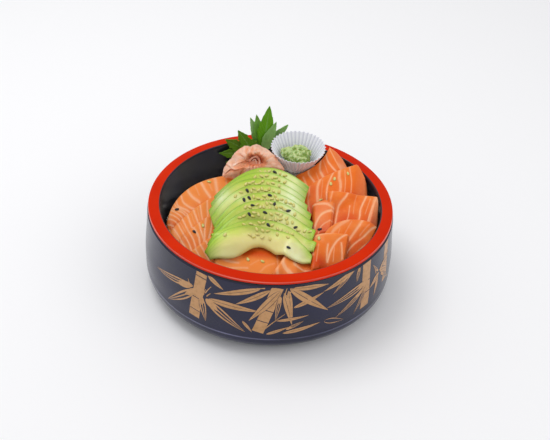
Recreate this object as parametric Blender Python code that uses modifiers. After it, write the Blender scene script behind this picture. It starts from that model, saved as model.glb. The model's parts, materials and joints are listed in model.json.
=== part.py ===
import math
import random

import bmesh
import bpy
import numpy as np

# Lacquered chirashi bowl: a round tub filled with rice, sliced salmon, a fan of avocado, ginger,
# leaves and a pleated paper cup of wasabi. Sizes in millimetres, turned into metres when a mesh is made.
# The origin is at the bottom centre of the tub, the camera side is -Y and +Z is up.
MM = 0.001
GAP = 0.3

# Tub
TUB_STEPS = 48
TUB_HEIGHT = 72.0
RIM_OUTER = 96.5
RIM_INNER = 87.2
WALL_OUTER = 100.0
INNER_WALL = 86.4
FLOOR_Z = 6.0
# (radius, height) from the middle of the underside, up the outside, over the rim and down inside
TUB_PROFILE = [
    (0.0, 1.6), (79.0, 1.6), (80.5, 0.0), (86.0, 0.0), (89.8, 1.7), (93.6, 5.0), (97.3, 9.2), (99.5, 13.4),
    (WALL_OUTER, 19.0), (WALL_OUTER, 34.0), (98.6, 50.5), (97.3, 67.2), (96.0, 68.2),
    (RIM_OUTER, 69.2), (RIM_OUTER, 70.8), (95.5, TUB_HEIGHT), (88.2, TUB_HEIGHT), (RIM_INNER, 71.2),
    (INNER_WALL, 60.0), (INNER_WALL - 1.0, 16.0), (76.0, FLOOR_Z), (0.0, FLOOR_Z),
]
RED_ABOVE = 69.0

# Height field that the slices are laid on, one after the other
CELL = 0.5
HALF = 104.0
SMOOTH_CELLS = 6

# Slices: corners back left, back right, front right and front left as x, y and height of the top face,
# then how far the back and front edges bow, how much the back and front rise in the middle, the
# thickness, how far the left margin falls away, and where the cut face at the right end runs down to
# from the back and from the front corner
SALMON = [
    ("salmon_left_1", (-82, -10, 54), (-33, 46, 63), (-28, 16, 56), (-76, -32, 48),
     14, 8, 2.0, 0.5, 3.8, 2, (1, 0, -1), (1, 0, -1)),
    ("salmon_left_2", (-78, -25, 56), (-36, 27, 62), (-28, -2, 56), (-69, -48, 49),
     3, 2, 1.0, 0.5, 3.8, 2, (1, 0, -1), (1, 0, -1)),
    ("salmon_left_3", (-70, -39, 57), (-38, 1, 62.5), (-28, -26, 56), (-60, -60, 49),
     2, 2, 1.0, 0.5, 3.8, 2, (1, 0, -1), (1, 0, -1)),
    ("salmon_left_4", (-61, -53, 57), (-41, -33, 62), (-26, -52, 56), (-48, -70, 49),
     1, 2, 0.5, 0.5, 3.8, 2, (1, 0, -1), (1, 0, -1)),
    ("salmon_front_1", (-46, -44, 58.5), (14, -39, 57), (22, -79, 52.5), (-34, -78, 53),
     2, 3, 1.5, 0.5, 4.4, 1, (1, 0, -1), (1, 0, -1)),
    ("salmon_front_2", (14, -49, 58.5), (36, -46, 60), (38, -74, 54), (1, -80, 54),
     2, 2, 1.5, 0.5, 3.8, 2, (1, 0, -1), (1, 0, -1)),
    ("salmon_right_1", (20, 47, 65.5), (47, 69.5, 80), (60, 41, 69), (26, 16, 62),
     -5, 0, 0.0, 0.5, 5.0, 0, (10, -2, -6), (10, 2, -5)),
    ("salmon_right_2", (26, 23, 69), (69, 49, 78), (65, 12, 67), (26, -8, 60),
     2, 0, 1.0, 0.5, 5.0, 0, (8, 0, -3.5), (14, 2, -5)),
    ("salmon_right_3", (45, 14, 67.5), (84.5, 10, 73), (76, -24, 61), (44, -27, 58),
     1, 0, 1.0, 0.5, 5.0, 1, (1.5, -3, -3), (8, 0, -4)),
    ("salmon_right_4", (33, 2, 69), (49, 2, 72.5), (46, -26, 64), (34, -28, 61),
     2, 0, 1.5, 0.0, 3.4, 1, (2, 0, -2), (2, 0, -2)),
    ("salmon_right_5", (40, -34, 65), (84, -20, 67), (67, -53, 56), (40, -60, 55),
     11, 2, 4.0, 0.0, 4.4, 1, (1, -1, -2), (1, -1, -2)),
    ("salmon_right_6", (33, -34, 67), (60, -34, 69.5), (56, -60, 58), (32, -68, 55),
     1, 1, 1.0, 0.0, 3.4, 1, (1.5, 0, -2), (1.5, 0, -2)),
]
# Avocado: the same first nine values, then how far the back edge's middle lies to the right
AVOCADO = [
    ("avocado_1", (-45, 1, 73), (30, 16, 76), (27, 9, 67), (-40, -7, 63), 24.5, 14, 6.0, 2.5, 0.25),
    ("avocado_2", (-47, -7, 72), (28, 10, 75.5), (26, 2, 66.5), (-42, -15, 62.5), 24.5, 14, 7.0, 3.0, 0.2),
    ("avocado_3", (-48, -14, 70), (27, 3, 74.5), (26, -5, 66), (-44, -21, 61.5), 24.0, 13.5, 7.5, 3.5, 0.15),
    ("avocado_4", (-46, -20, 68.5), (29, -5, 73), (28, -13, 64.5), (-42, -27, 61), 23.5, 13, 8.0, 4.0, 0.1),
    ("avocado_5", (-43, -27, 67.0), (32, -13, 71), (30, -21, 63.5), (-39, -34, 60), 23.0, 12.5, 8.5, 4.5, 0.05),
    ("avocado_6", (-43, -34, 66), (33.5, -22, 69.5), (31, -30, 62), (-39, -41, 59.5), 22.5, 12, 8.5, 4.5, 0.0),
    ("avocado_7", (-44, -42, 65), (35.5, -32, 67.5), (33, -40, 60.5), (-40, -48, 59), 22.5, 12, 8.5, 4.5, 0.0),
    ("avocado_8", (-46, -50, 63.5), (36, -46, 64.5), (34, -52, 59.5), (-42, -56, 59), 22.5, 11.5, 8.5, 4.5, 0.0),
    ("avocado_9", (-47.5, -56.5, 61.5), (33, -56, 61), (32, -61.5, 58.5), (-43, -61, 58), 22, 14.5, 9.0, 5.0, 0.0),
]
AVOCADO_THICK = 3.3
SLICE_GRID = (8, 5)
AVOCADO_GRID = (13, 4)

# Sesame, lying on whichever slice shows at its place: x, y and turn of each black seed
SEED = (3.7, 2.3, 1.7)
BLACK_SEEDS = [
    (2, 27, -30), (-30, 3, 60), (-19, 5, -50), (-17, -1, -40), (-1, 0, -20), (8, 10, 50), (-21, -8, -70),
    (-14, -10, 8), (3, -9, 80), (7, -7, 12), (14, -17, 15), (-4, -18, -20), (-16, -20, -50), (-15, -25, 0),
    (-1, -30, -45), (20, -30, 20), (25, -47, -35), (29, -51, -50), (15, -54, -20),
    (-75, 3, 25), (-58, -28, -40), (47, 4, 0), (39, -26, 0),
]
PALE_SEEDS = 42
PALE_CENTRE = (-2, 4)
PALE_SPREAD = (18, 21)
PALE_ON_SALMON = [
    (-40, 22), (-52, -21), (-52, 38), (51, 32), (48, 27), (62, 38), (40, 11), (38, -38), (-15, -57), (-4, -58),
]

# Rice
RICE_RINGS = 9
RICE_SIDES = 32
RICE_GRAIN = (6.2, 2.5, 2.3)
RICE_GRAINS = 20
RICE_SHOWS = [(-40, 50), (-70, 33)]
# Middle and half widths of the heap's edge at the back left, beyond which the rice falls to the wall
HEAP_EDGE = (-35, -10, 47, 57)

# Ginger: a rosette of folded sheets facing the camera. Its middle, its outline as angle and reach in
# the plane that faces the camera, the opening's reach, and how deep the folds and the opening are
GINGER_MIDDLE = (-14.5, 52.2, 73.3)
GINGER_LEAN = 38.0
GINGER_OUTLINE = [
    (0, 19.0), (25, 14.8), (45, 13.2), (68, 12.6), (90, 13.4), (112, 12.2), (130, 15.0), (150, 16.8), (178, 20.0),
    (195, 26.0), (209, 30.5), (220, 25.0), (240, 16.0), (270, 12.5), (310, 15.0), (335, 24.0), (345, 25.0),
]
GINGER_GRID = (34, 7)
GINGER_FOLDS = 11
GINGER_FOLD_DEPTH = 1.7
GINGER_HOLLOW = 5.5
GINGER_BODY = 6.5
GINGER_ROLL = (-0.6, -1.6, 3.57, 1.31)

# Leaves: angle in the leaf's plane from straight up, length, width and teeth of each lobe
LEAF_ROOT = (-9, 80.5, 64)
LEAF_LOBES = [
    (39, 32, 10.5, 0), (-22, 32, 10.5, 0), (-12, 33.5, 12, 0), (5, 43, 15.5, 0), (19, 30.5, 11, 0),
]
SIDE_ROOT = (-14, 76.5, 60)
SIDE_LOBES = [(-100, 27, 10, 2), (-80, 33, 13.5, 3), (-56, 33, 16, 3), (-31, 32.5, 14.5, 3)]
LEAF_THICK = 0.9

# Paper cup and the wasabi in it
CUP_CENTRE = (20.5, 63.5)
CUP_BASE_Z = 63.5
CUP_HEIGHT = 19.5
CUP_BASE_R = 12.0
CUP_TOP_R = 22.6
CUP_PLEATS = 38
CUP_PLEAT_DEPTH = 0.7
CUP_THICK = 0.5
CUP_TILT = 3.0
WASABI = [
    (-8.0, 1.5, 11.2, 7.0, 6.5, 5.0), (-0.5, -2.5, 10.8, 6.0, 8.5, 5.2), (6.0, 2.0, 11.2, 6.0, 6.0, 4.8),
    (1.0, 5.5, 12.0, 7.5, 5.0, 4.6), (4.0, -6.0, 9.8, 5.5, 5.0, 4.4), (0.0, 0.5, 6.4, 12.0, 11.0, 5.2),
]

COLOURS = {
    "tub": (0.03, 0.032, 0.05), "rim": (0.7, 0.03, 0.005), "salmon": (0.85, 0.22, 0.06),
    "avocado": (0.62, 0.7, 0.22), "rice": (0.85, 0.83, 0.78), "ginger": (0.85, 0.4, 0.3),
    "leaf": (0.08, 0.2, 0.02), "paper": (0.85, 0.85, 0.88), "wasabi": (0.5, 0.65, 0.25),
}
ROUGHNESS = {"tub": 0.12, "rim": 0.15, "salmon": 0.3, "avocado": 0.4, "paper": 0.7}

# Height field
axis = np.arange(-HALF, HALF + CELL / 2, CELL)
grid_x, grid_y = np.meshgrid(axis, axis, indexing="ij")


def cell_of(value):
    return (np.asarray(value) + HALF) / CELL


def sample(field, x, y):
    """The field's value at each place, read between its cells."""
    i = np.clip(cell_of(x), 0, len(axis) - 1.001)
    j = np.clip(cell_of(y), 0, len(axis) - 1.001)
    i0, j0 = i.astype(int), j.astype(int)
    fi, fj = i - i0, j - j0
    near = field[i0, j0] * (1 - fj) + field[i0, j0 + 1] * fj
    far = field[i0 + 1, j0] * (1 - fj) + field[i0 + 1, j0 + 1] * fj
    return near * (1 - fi) + far * fi


def spread(field, cells, rule):
    """The largest (np.maximum) or smallest (np.minimum) value within so many cells."""
    for turn in (0, 1):
        out = field
        for step in range(1, cells + 1):
            lead = [(0, 0), (0, 0)]
            lead[turn] = (step, step)
            wide = np.pad(field, lead, mode="edge")
            cut = [slice(None), slice(None)]
            cut[turn] = slice(0, field.shape[turn])
            out = rule(out, wide[tuple(cut)])
            cut[turn] = slice(2 * step, 2 * step + field.shape[turn])
            out = rule(out, wide[tuple(cut)])
        field = out
    return field


def blur(field, cells):
    """The mean over a square of 2 * cells + 1 cells a side."""
    for turn in (0, 1):
        lead = [(0, 0), (0, 0)]
        lead[turn] = (cells + 1, cells)
        total = np.cumsum(np.pad(field, lead, mode="edge"), axis=turn)
        size = field.shape[turn]
        high = [slice(None), slice(None)]
        low = [slice(None), slice(None)]
        high[turn] = slice(2 * cells + 1, 2 * cells + 1 + size)
        low[turn] = slice(0, size)
        field = (total[tuple(high)] - total[tuple(low)]) / (2 * cells + 1)
    return field


def low_and_high(points, faces):
    """The lowest and highest surface of a closed mesh over each cell."""
    low = np.full(grid_x.shape, np.inf)
    high = np.full(grid_x.shape, -np.inf)
    for a, b, c in points[faces]:
        i0, j0 = np.maximum(np.floor(cell_of(np.minimum(np.minimum(a, b), c)[:2])), 0).astype(int)
        i1, j1 = np.minimum(np.ceil(cell_of(np.maximum(np.maximum(a, b), c)[:2])), len(axis) - 1).astype(int) + 1
        area = (b[0] - a[0]) * (c[1] - a[1]) - (c[0] - a[0]) * (b[1] - a[1])
        if abs(area) < 1e-9:
            continue
        x, y = grid_x[i0:i1, j0:j1], grid_y[i0:i1, j0:j1]
        s = ((x - a[0]) * (c[1] - a[1]) - (c[0] - a[0]) * (y - a[1])) / area
        t = ((b[0] - a[0]) * (y - a[1]) - (x - a[0]) * (b[1] - a[1])) / area
        inside = (s >= -1e-6) & (t >= -1e-6) & (s + t <= 1 + 1e-6)
        z = a[2] + s * (b[2] - a[2]) + t * (c[2] - a[2])
        low[i0:i1, j0:j1] = np.where(inside, np.minimum(low[i0:i1, j0:j1], z), low[i0:i1, j0:j1])
        high[i0:i1, j0:j1] = np.where(inside, np.maximum(high[i0:i1, j0:j1], z), high[i0:i1, j0:j1])
    return low, high


# Shapes
def slab_faces(nu, nv):
    """Triangles of a closed slab: top grid, then bottom grid, both split alike, and the edge between."""
    faces = []
    under = nu * nv
    for i in range(nu - 1):
        for j in range(nv - 1):
            a, b, c, d = i * nv + j, (i + 1) * nv + j, (i + 1) * nv + j + 1, i * nv + j + 1
            faces += [(a, c, b), (a, d, c)]
            faces += [(a + under, b + under, c + under), (a + under, c + under, d + under)]
    ring = [i * nv for i in range(nu)] + [(nu - 1) * nv + j for j in range(1, nv)]
    ring += [i * nv + nv - 1 for i in range(nu - 2, -1, -1)] + [j for j in range(nv - 2, 0, -1)]
    for a, b in zip(ring, ring[1:] + ring[:1]):
        faces += [(a, b, b + under), (a, b + under, a + under)]
    return np.array(faces)


def steps_with_margin(count, margin):
    return np.concatenate([[0.0], np.linspace(margin, 1 - margin, count - 2), [1.0]])


def slice_top(spec, us, vs, power):
    """x, y and height of the slice's top face at every u across and v from back to front."""
    _, bl, br, fr, fl, bow_back, bow_front, rise_back, rise_front = spec[:9]
    skew = spec[9] if power > 1 else 0.0
    corners = [np.array(c, float) for c in (bl, br, fr, fl)]
    u, v = np.meshgrid(us, vs, indexing="ij")
    arch = 4 * u * (1 - u) * (1 + skew * (2 * u - 1))
    along = corners[1][:2] - corners[0][:2]
    out = np.array([-along[1], along[0]]) / np.hypot(*along)
    back = corners[0] + u[..., None] * (corners[1] - corners[0])
    front = corners[3] + u[..., None] * (corners[2] - corners[3])
    back[..., :2] += out * (bow_back * arch)[..., None]
    front[..., :2] += out * (bow_front * np.sin(np.pi * u) ** power)[..., None]
    top = back * (1 - v[..., None]) + front * v[..., None]
    top[..., 2] += (rise_back * (1 - v) + rise_front * v) * 4 * u * (1 - u)
    return top, u, v


def slice_solid(spec, counts, thick, power, left, ends):
    """Points and faces of one slice: its top, its underside and soft margins."""
    nu, nv = counts
    length = math.dist(spec[1][:2], spec[2][:2])
    width = max(math.dist(spec[1][:2], spec[4][:2]), 12.0)
    us = steps_with_margin(nu, min(3.0 / length, 0.1))
    vs = steps_with_margin(nv, min(2.0 / width, 0.16))
    if ends:
        us = np.append(np.linspace(0, 1, nu - 1), 1.0)
        us[1] = min(3.0 / length, 0.1)
    top, u, v = slice_top(spec, us, vs, power)
    if ends:
        back, front = (np.array(end, float) for end in ends)
        top[-1] += back + (front - back) * vs[:, None]
    top[..., 2] -= left * np.clip(1 - u / 0.14, 0, 1) ** 2
    reach = np.hypot(top[..., 0], top[..., 1])
    within = INNER_WALL - 0.8 - np.clip(60 - top[..., 2], 0, 40) * 0.025
    most = np.where(top[..., 2] - thick > TUB_HEIGHT + 1, 92.0, within)
    top[..., :2] *= np.minimum(1, most / np.maximum(reach, 1e-6))[..., None]
    depth = thick * (0.5 + 0.5 * np.sin(np.pi * u)) if power > 1 else np.full(u.shape, thick)
    bottom = top.copy()
    bottom[..., 2] -= depth
    if ends:
        bottom[-1, :, :2] += 0.35 * (top[-2, :, :2] - top[-1, :, :2])
        bottom[-1, :, 2] = top[-1, :, 2] - 0.35 * thick
    margin = np.zeros(u.shape, bool)
    margin[0] = margin[-1] = margin[:, 0] = margin[:, -1] = True
    top[..., 2] -= np.where(margin, 0.34 * depth, 0)
    bottom[..., 2] += np.where(margin, 0.12 * depth, 0)
    points = np.concatenate([top.reshape(-1, 3), bottom.reshape(-1, 3)])
    return points, slab_faces(nu, nv)


def lay(points, faces, height):
    """Lifts a slice smoothly off what lies below it, then by what is still missing."""
    for _ in range(3):
        low, _high = low_and_high(points, faces)
        short = np.where(np.isfinite(low), np.maximum(height + GAP - low, 0), 0)
        lift = blur(spread(short, SMOOTH_CELLS, np.maximum), SMOOTH_CELLS)
        points[:, 2] += sample(lift, points[:, 0], points[:, 1])
    low, _high = low_and_high(points, faces)
    points[:, 2] += max(0.0, float(np.where(np.isfinite(low), height + GAP - low, -1).max()))
    return points


def clear_scene():
    for thing in list(bpy.data.objects):
        bpy.data.objects.remove(thing)


def collection_of(name, hidden=False):
    found = bpy.data.collections.new(name)
    bpy.context.scene.collection.children.link(found)
    found.hide_render = hidden
    return found


def material_of(kind):
    found = bpy.data.materials.get(kind)
    if found is None:
        found = bpy.data.materials.new(kind)
        found.use_nodes = True
        shader = found.node_tree.nodes["Principled BSDF"]
        shader.inputs["Base Color"].default_value = (*COLOURS[kind], 1)
        shader.inputs["Roughness"].default_value = ROUGHNESS.get(kind, 0.5)
        shader.inputs["Metallic"].default_value = 0.0
        found.diffuse_color = (*COLOURS[kind], 1)
    return found


def mesh_object(name, points, faces, kind, collection):
    mesh = bpy.data.meshes.new(name)
    mesh.from_pydata((np.asarray(points) * MM).tolist(), [], np.asarray(faces).tolist())
    mesh.materials.append(material_of(kind))
    mesh.update()
    made = bpy.data.objects.new(name, mesh)
    collection.objects.link(made)
    return made


def points_and_faces(made):
    graph = bpy.context.evaluated_depsgraph_get()
    mesh = made.evaluated_get(graph).to_mesh()
    mesh.calc_loop_triangles()
    points = np.array([v.co for v in mesh.vertices]) / MM
    faces = np.array([t.vertices for t in mesh.loop_triangles])
    return points, faces


def unite(body, shapes):
    """Joins every shape to the body with one Boolean union and takes the shapes away."""
    if not shapes:
        return
    joined = bpy.data.collections.new(body.name + "_shapes")
    for shape in shapes:
        for holder in list(shape.users_collection):
            holder.objects.unlink(shape)
        joined.objects.link(shape)
    union = body.modifiers.new("union", "BOOLEAN")
    union.operation = "UNION"
    union.operand_type = "COLLECTION"
    union.collection = joined
    union.solver = "MANIFOLD"
    graph = bpy.context.evaluated_depsgraph_get()
    mesh = bpy.data.meshes.new_from_object(body.evaluated_get(graph))
    body.modifiers.remove(union)
    body.data = mesh
    keep_largest(mesh)
    for shape in shapes:
        bpy.data.objects.remove(shape)
    bpy.data.collections.remove(joined)


def keep_largest(mesh):
    """Takes away the specks that a union can leave, and keeps the one body."""
    shape = bmesh.new()
    shape.from_mesh(mesh)
    left, groups = set(shape.verts), []
    while left:
        group, queue = set(), [left.pop()]
        while queue:
            vert = queue.pop()
            group.add(vert)
            for edge in vert.link_edges:
                other = edge.other_vert(vert)
                if other in left:
                    left.remove(other)
                    queue.append(other)
        groups.append(group)
    groups.sort(key=len)
    specks = [vert for group in groups[:-1] if len(group) < 12 for vert in group]
    bmesh.ops.delete(shape, geom=specks, context="VERTS")
    shape.to_mesh(mesh)
    shape.free()


def ball(size, sides, rings, taper=0.0):
    """A closed ellipsoid of the full size given, its +X end drawn in by the taper."""
    points = [(size[0] / 2, 0, 0)]
    for ring in range(1, rings + 1):
        angle = math.pi * ring / (rings + 1)
        reach = math.sin(angle) * (1 - taper * math.cos(angle))
        for side in range(sides):
            turn = 2 * math.pi * (side + 0.5 * (ring % 2)) / sides
            points.append(
                (
                    math.cos(angle) * size[0] / 2,
                    math.cos(turn) * reach * size[1] / 2,
                    math.sin(turn) * reach * size[2] / 2,
                )
            )
    points.append((-size[0] / 2, 0, 0))
    last = len(points) - 1
    faces = []
    for side in range(sides):
        following = (side + 1) % sides
        faces.append((0, 1 + side, 1 + following))
        faces.append((last, last - sides + following, last - sides + side))
        for ring in range(rings - 1):
            a, b = 1 + ring * sides + side, 1 + ring * sides + following
            c, d = a + sides, b + sides
            if ring % 2 == 0:
                faces += [(a, c, b), (b, c, d)]
            else:
                faces += [(a, c, d), (a, d, b)]
    return np.array(points), np.array(faces)


def turned(points, yaw, pitch=0.0):
    """Points turned about Y by the pitch, then about Z by the yaw, in degrees."""
    p, y = math.radians(pitch), math.radians(yaw)
    about_y = np.array([[math.cos(p), 0, math.sin(p)], [0, 1, 0], [-math.sin(p), 0, math.cos(p)]])
    about_z = np.array([[math.cos(y), -math.sin(y), 0], [math.sin(y), math.cos(y), 0], [0, 0, 1]])
    return points @ about_y.T @ about_z.T


def outward(points, faces):
    """The faces, turned round if they face inwards."""
    a, b, c = (points[faces[:, k]] for k in range(3))
    volume = np.einsum("ij,ij->i", a, np.cross(b, c)).sum()
    return faces if volume > 0 else faces[:, ::-1]


def sheet(rows, thick):
    """A thin closed sheet through a grid of points, thickened along its normals."""
    nu, nv, _ = rows.shape
    du = np.gradient(rows, axis=0)
    dv = np.gradient(rows, axis=1)
    normal = np.cross(du, dv)
    normal /= np.linalg.norm(normal, axis=2, keepdims=True)
    top = rows + normal * thick / 2
    bottom = rows - normal * thick / 2
    points = np.concatenate([top.reshape(-1, 3), bottom.reshape(-1, 3)])
    faces = slab_faces(nu, nv)
    return points, outward(points, faces)


# Pieces
def make_tub(collection):
    mesh = bpy.data.meshes.new("tub")
    points = [(radius * MM, 0.0, z * MM) for radius, z in TUB_PROFILE]
    mesh.from_pydata(points, [(k, k + 1) for k in range(len(points) - 1)], [])
    tub = bpy.data.objects.new("bowl", mesh)
    collection.objects.link(tub)
    screw = tub.modifiers.new("turn", "SCREW")
    screw.steps = screw.render_steps = TUB_STEPS
    screw.use_merge_vertices = True
    screw.merge_threshold = 0.00001
    screw.use_normal_calculate = True
    graph = bpy.context.evaluated_depsgraph_get()
    solid = bpy.data.meshes.new_from_object(tub.evaluated_get(graph))
    tub.modifiers.remove(screw)
    tub.data = solid
    shape = bmesh.new()
    shape.from_mesh(solid)
    bmesh.ops.recalc_face_normals(shape, faces=shape.faces)
    if shape.calc_volume(signed=True) < 0:
        bmesh.ops.reverse_faces(shape, faces=shape.faces)
    shape.to_mesh(solid)
    shape.free()
    solid.materials.clear()
    solid.materials.append(material_of("tub"))
    solid.materials.append(material_of("rim"))
    for face in solid.polygons:
        face.material_index = 1 if face.center.z > RED_ABOVE * MM and face.center.xy.length > 87.4 * MM else 0
    return tub


def base_mound():
    """The most that the rice may rise, where nothing lies on it."""
    middle = 14 * np.exp(-(((grid_x - 2) / 46) ** 2) - ((grid_y - 26) / 50) ** 2)
    right = 10 * np.exp(-(((grid_x - 66) / 30) ** 2) - ((grid_y - 30) / 40) ** 2)
    beyond = np.hypot((grid_x - HEAP_EDGE[0]) / HEAP_EDGE[2], (grid_y - HEAP_EDGE[1]) / HEAP_EDGE[3]) - 1
    slope = 52 - 52 * np.maximum(beyond, 0)
    for x, y in RICE_SHOWS:
        slope += 7 * np.exp(-((grid_x - x) ** 2 + (grid_y - y) ** 2) / 30)
    share = np.clip((grid_x + 38) / 14, 0, 1)
    left_back = (1 - share) * slope + share * 90
    return np.maximum(np.minimum(56 + middle + right, np.where(grid_y > -20, left_back, 90)), 28)


def make_rice(lows, collection):
    """One body of rice under everything, with grains standing out where it shows."""
    allowed = np.minimum(base_mound(), spread(lows, 6, np.minimum) - 0.6)
    field = blur(spread(allowed, 3, np.minimum), 3)
    field = np.minimum(field, blur(field, 8))
    radii = np.linspace(0, INNER_WALL - 1.2, RICE_RINGS + 1)[1:]
    points = [(0.0, 0.0, float(sample(field, 0.0, 0.0)))]
    for radius in radii:
        for side in range(RICE_SIDES):
            turn = 2 * math.pi * side / RICE_SIDES
            x, y = radius * math.cos(turn), radius * math.sin(turn)
            points.append((x, y, float(sample(field, x, y))))
    for radius, z in ((INNER_WALL - 1.9, 18.0), (74.5, FLOOR_Z + GAP)):
        for side in range(RICE_SIDES):
            turn = 2 * math.pi * side / RICE_SIDES
            points.append((radius * math.cos(turn), radius * math.sin(turn), z))
    points.append((0.0, 0.0, FLOOR_Z + GAP))
    faces = [(0, 1 + s, 1 + (s + 1) % RICE_SIDES) for s in range(RICE_SIDES)]
    for ring in range(RICE_RINGS + 1):
        for side in range(RICE_SIDES):
            following = (side + 1) % RICE_SIDES
            a, b = 1 + ring * RICE_SIDES + side, 1 + ring * RICE_SIDES + following
            faces += [(a, a + RICE_SIDES, b + RICE_SIDES), (a, b + RICE_SIDES, b)]
    last = len(points) - 1
    for side in range(RICE_SIDES):
        faces.append((last, last - RICE_SIDES + (side + 1) % RICE_SIDES, last - RICE_SIDES + side))
    points, faces = np.array(points), np.array(faces)
    top = 1 + RICE_RINGS * RICE_SIDES
    _low, high = low_and_high(points, faces)
    over = float(np.where(np.isfinite(lows), high + GAP - lows, -1).max())
    points[:top, 2] -= max(0.0, over)
    rice = mesh_object("rice", points, outward(points, faces), "rice", collection)
    _low, high = low_and_high(points, faces)
    unite(rice, rice_grains(high, lows, collection))
    return rice


def rice_grains(high, lows, collection):
    """Grains standing out where the rice shows, and thinly down the free slope, clear of what lies on it."""
    rng = random.Random(7)
    near = spread(lows, 1, np.minimum)
    shape, faces = ball(RICE_GRAIN, 5, 2)
    placed, shapes = [], []
    for attempt in range(6000):
        if len(placed) >= RICE_GRAINS:
            break
        if attempt < 1500:
            cx, cy = RICE_SHOWS[attempt % 2]
            x, y = rng.gauss(cx, 4), rng.gauss(cy, 3)
        else:
            x, y = rng.uniform(-80, -24), rng.uniform(10, 80)
        if len(placed) >= RICE_GRAINS // 2 and attempt < 1500:
            continue
        if math.hypot(x, y) > INNER_WALL - 5 or any(math.dist((x, y), other) < 3.4 for other in placed):
            continue
        z = float(sample(high, x, y))
        grain = turned(shape, rng.uniform(0, 360), rng.uniform(-15, 15)) + (x, y, z + 0.3)
        _low, grain_high = low_and_high(grain, faces)
        covered = np.isfinite(grain_high)
        if (grain_high[covered] + 0.4 > near[covered]).any():
            continue
        placed.append((x, y))
        shapes.append(mesh_object("grain", grain, faces, "rice", collection))
    return shapes


def make_slices(collection):
    """Lays every slice in turn. Returns the lowest surface of all, the height field and who is on top."""
    height = np.full(grid_x.shape, 6.0)
    lows = np.full(grid_x.shape, np.inf)
    owner = np.full(grid_x.shape, -1)
    made = []
    rows = [(spec[:9], SLICE_GRID, spec[9], 1, spec[10], spec[11:], "salmon") for spec in SALMON]
    shapes = {"avocado_9": 5}
    rows += [(spec, AVOCADO_GRID, AVOCADO_THICK, shapes.get(spec[0], 3), 0, (), "avocado") for spec in AVOCADO]
    for spec, counts, thick, power, left, ends, kind in rows:
        points, faces = slice_solid(spec, counts, thick, power, left, ends)
        points = lay(points, faces, spread(height, 1, np.maximum))
        low, high = low_and_high(points, faces)
        owner = np.where(np.isfinite(high), len(made), owner)
        lows = np.minimum(lows, low)
        height = np.maximum(height, high)
        made.append((spec[0], points, faces, kind))
    return made, lows, height, owner


def seed_places(owner, height):
    """x, y, turn and slice of each sesame seed, kept off the margins between two slices."""
    rng = random.Random(11)
    wanted = [(x, y, turn) for x, y, turn in BLACK_SEEDS]
    wanted += [(x, y, rng.uniform(0, 180)) for x, y in PALE_ON_SALMON]
    for _ in range(900):
        x = rng.gauss(PALE_CENTRE[0], PALE_SPREAD[0])
        y = rng.gauss(PALE_CENTRE[1], PALE_SPREAD[1])
        wanted.append((x, y, rng.uniform(0, 180)))
    listed = len(BLACK_SEEDS) + len(PALE_ON_SALMON)
    placed = []
    for number, (x, y, turn) in enumerate(wanted):
        if len(placed) >= listed + PALE_SEEDS:
            break
        for dx, dy in [(0, 0), (0, -1.5), (0, 1.5), (1.5, 0), (-1.5, 0), (0, -3), (0, 3), (2, -2), (-2, -2)]:
            i, j = int(round(float(cell_of(x + dx)))), int(round(float(cell_of(y + dy))))
            reach = 5
            patch = owner[i - reach : i + reach + 1, j - reach : j + reach + 1]
            if patch.size == 0 or patch[0, 0] < 0 or (patch != patch[reach, reach]).any():
                continue
            spot = height[i - reach : i + reach + 1, j - reach : j + reach + 1]
            if spot.max() - spot.min() > 5.5:
                continue
            if number >= listed and patch[reach, reach] < len(SALMON):
                continue
            if any(math.dist((x + dx, y + dy), seed[:2]) < 3.6 for seed in placed):
                continue
            placed.append((x + dx, y + dy, turn, int(patch[reach, reach])))
            break
    return placed


def ginger_surface(turn, share):
    """Place on the rosette's front, and its depth under it, for angles and shares of the reach."""
    angles = np.radians([row[0] for row in GINGER_OUTLINE] + [360])
    reaches = [row[1] for row in GINGER_OUTLINE] + [GINGER_OUTLINE[0][1]]
    reach = np.interp(turn % (2 * np.pi), angles, reaches)
    phase = (GINGER_FOLDS * turn / (2 * np.pi) + 0.55 * share + 0.25 * np.sin(3 * turn)) % 1.0
    fold = np.where(phase < 0.72, phase / 0.72, (1 - phase) / 0.28)
    rim = share**4
    depth = 6.0 * (1 - rim) + GINGER_FOLD_DEPTH * fold * np.clip((share - 0.25) * 3, 0, 1)
    depth += 2.4 * np.exp(-(((share - 0.5) / 0.16) ** 2)) * np.clip(np.sin(turn) + 0.35, 0, 1)
    depth += 1.3 * np.clip(reach * share / 12 - 0.8, 0, 1)
    depth += 3.6 * np.clip((reach * share * np.cos(turn) - 5) / 7, 0, 1)
    hollow = np.clip((0.4 - share) / 0.17, 0, 1) ** 0.6
    depth -= GINGER_HOLLOW * hollow * np.clip(np.sin(turn) + 0.75, 0.35, 1)
    depth += 5.5 * np.clip((reach - 20) / 11, 0, 1) * share**2
    return plane_place(reach * share * np.cos(turn), reach * share * np.sin(turn), depth), rim


def plane_place(across, up, towards):
    """A place from the rosette's middle: across, up in its leaning plane and towards the camera."""
    lean = math.radians(GINGER_LEAN)
    x = GINGER_MIDDLE[0] + across
    y = GINGER_MIDDLE[1] + up * math.sin(lean) - towards * math.cos(lean)
    z = GINGER_MIDDLE[2] + up * math.cos(lean) + towards * math.sin(lean)
    return np.stack(np.broadcast_arrays(x, y, z), axis=-1)


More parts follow.
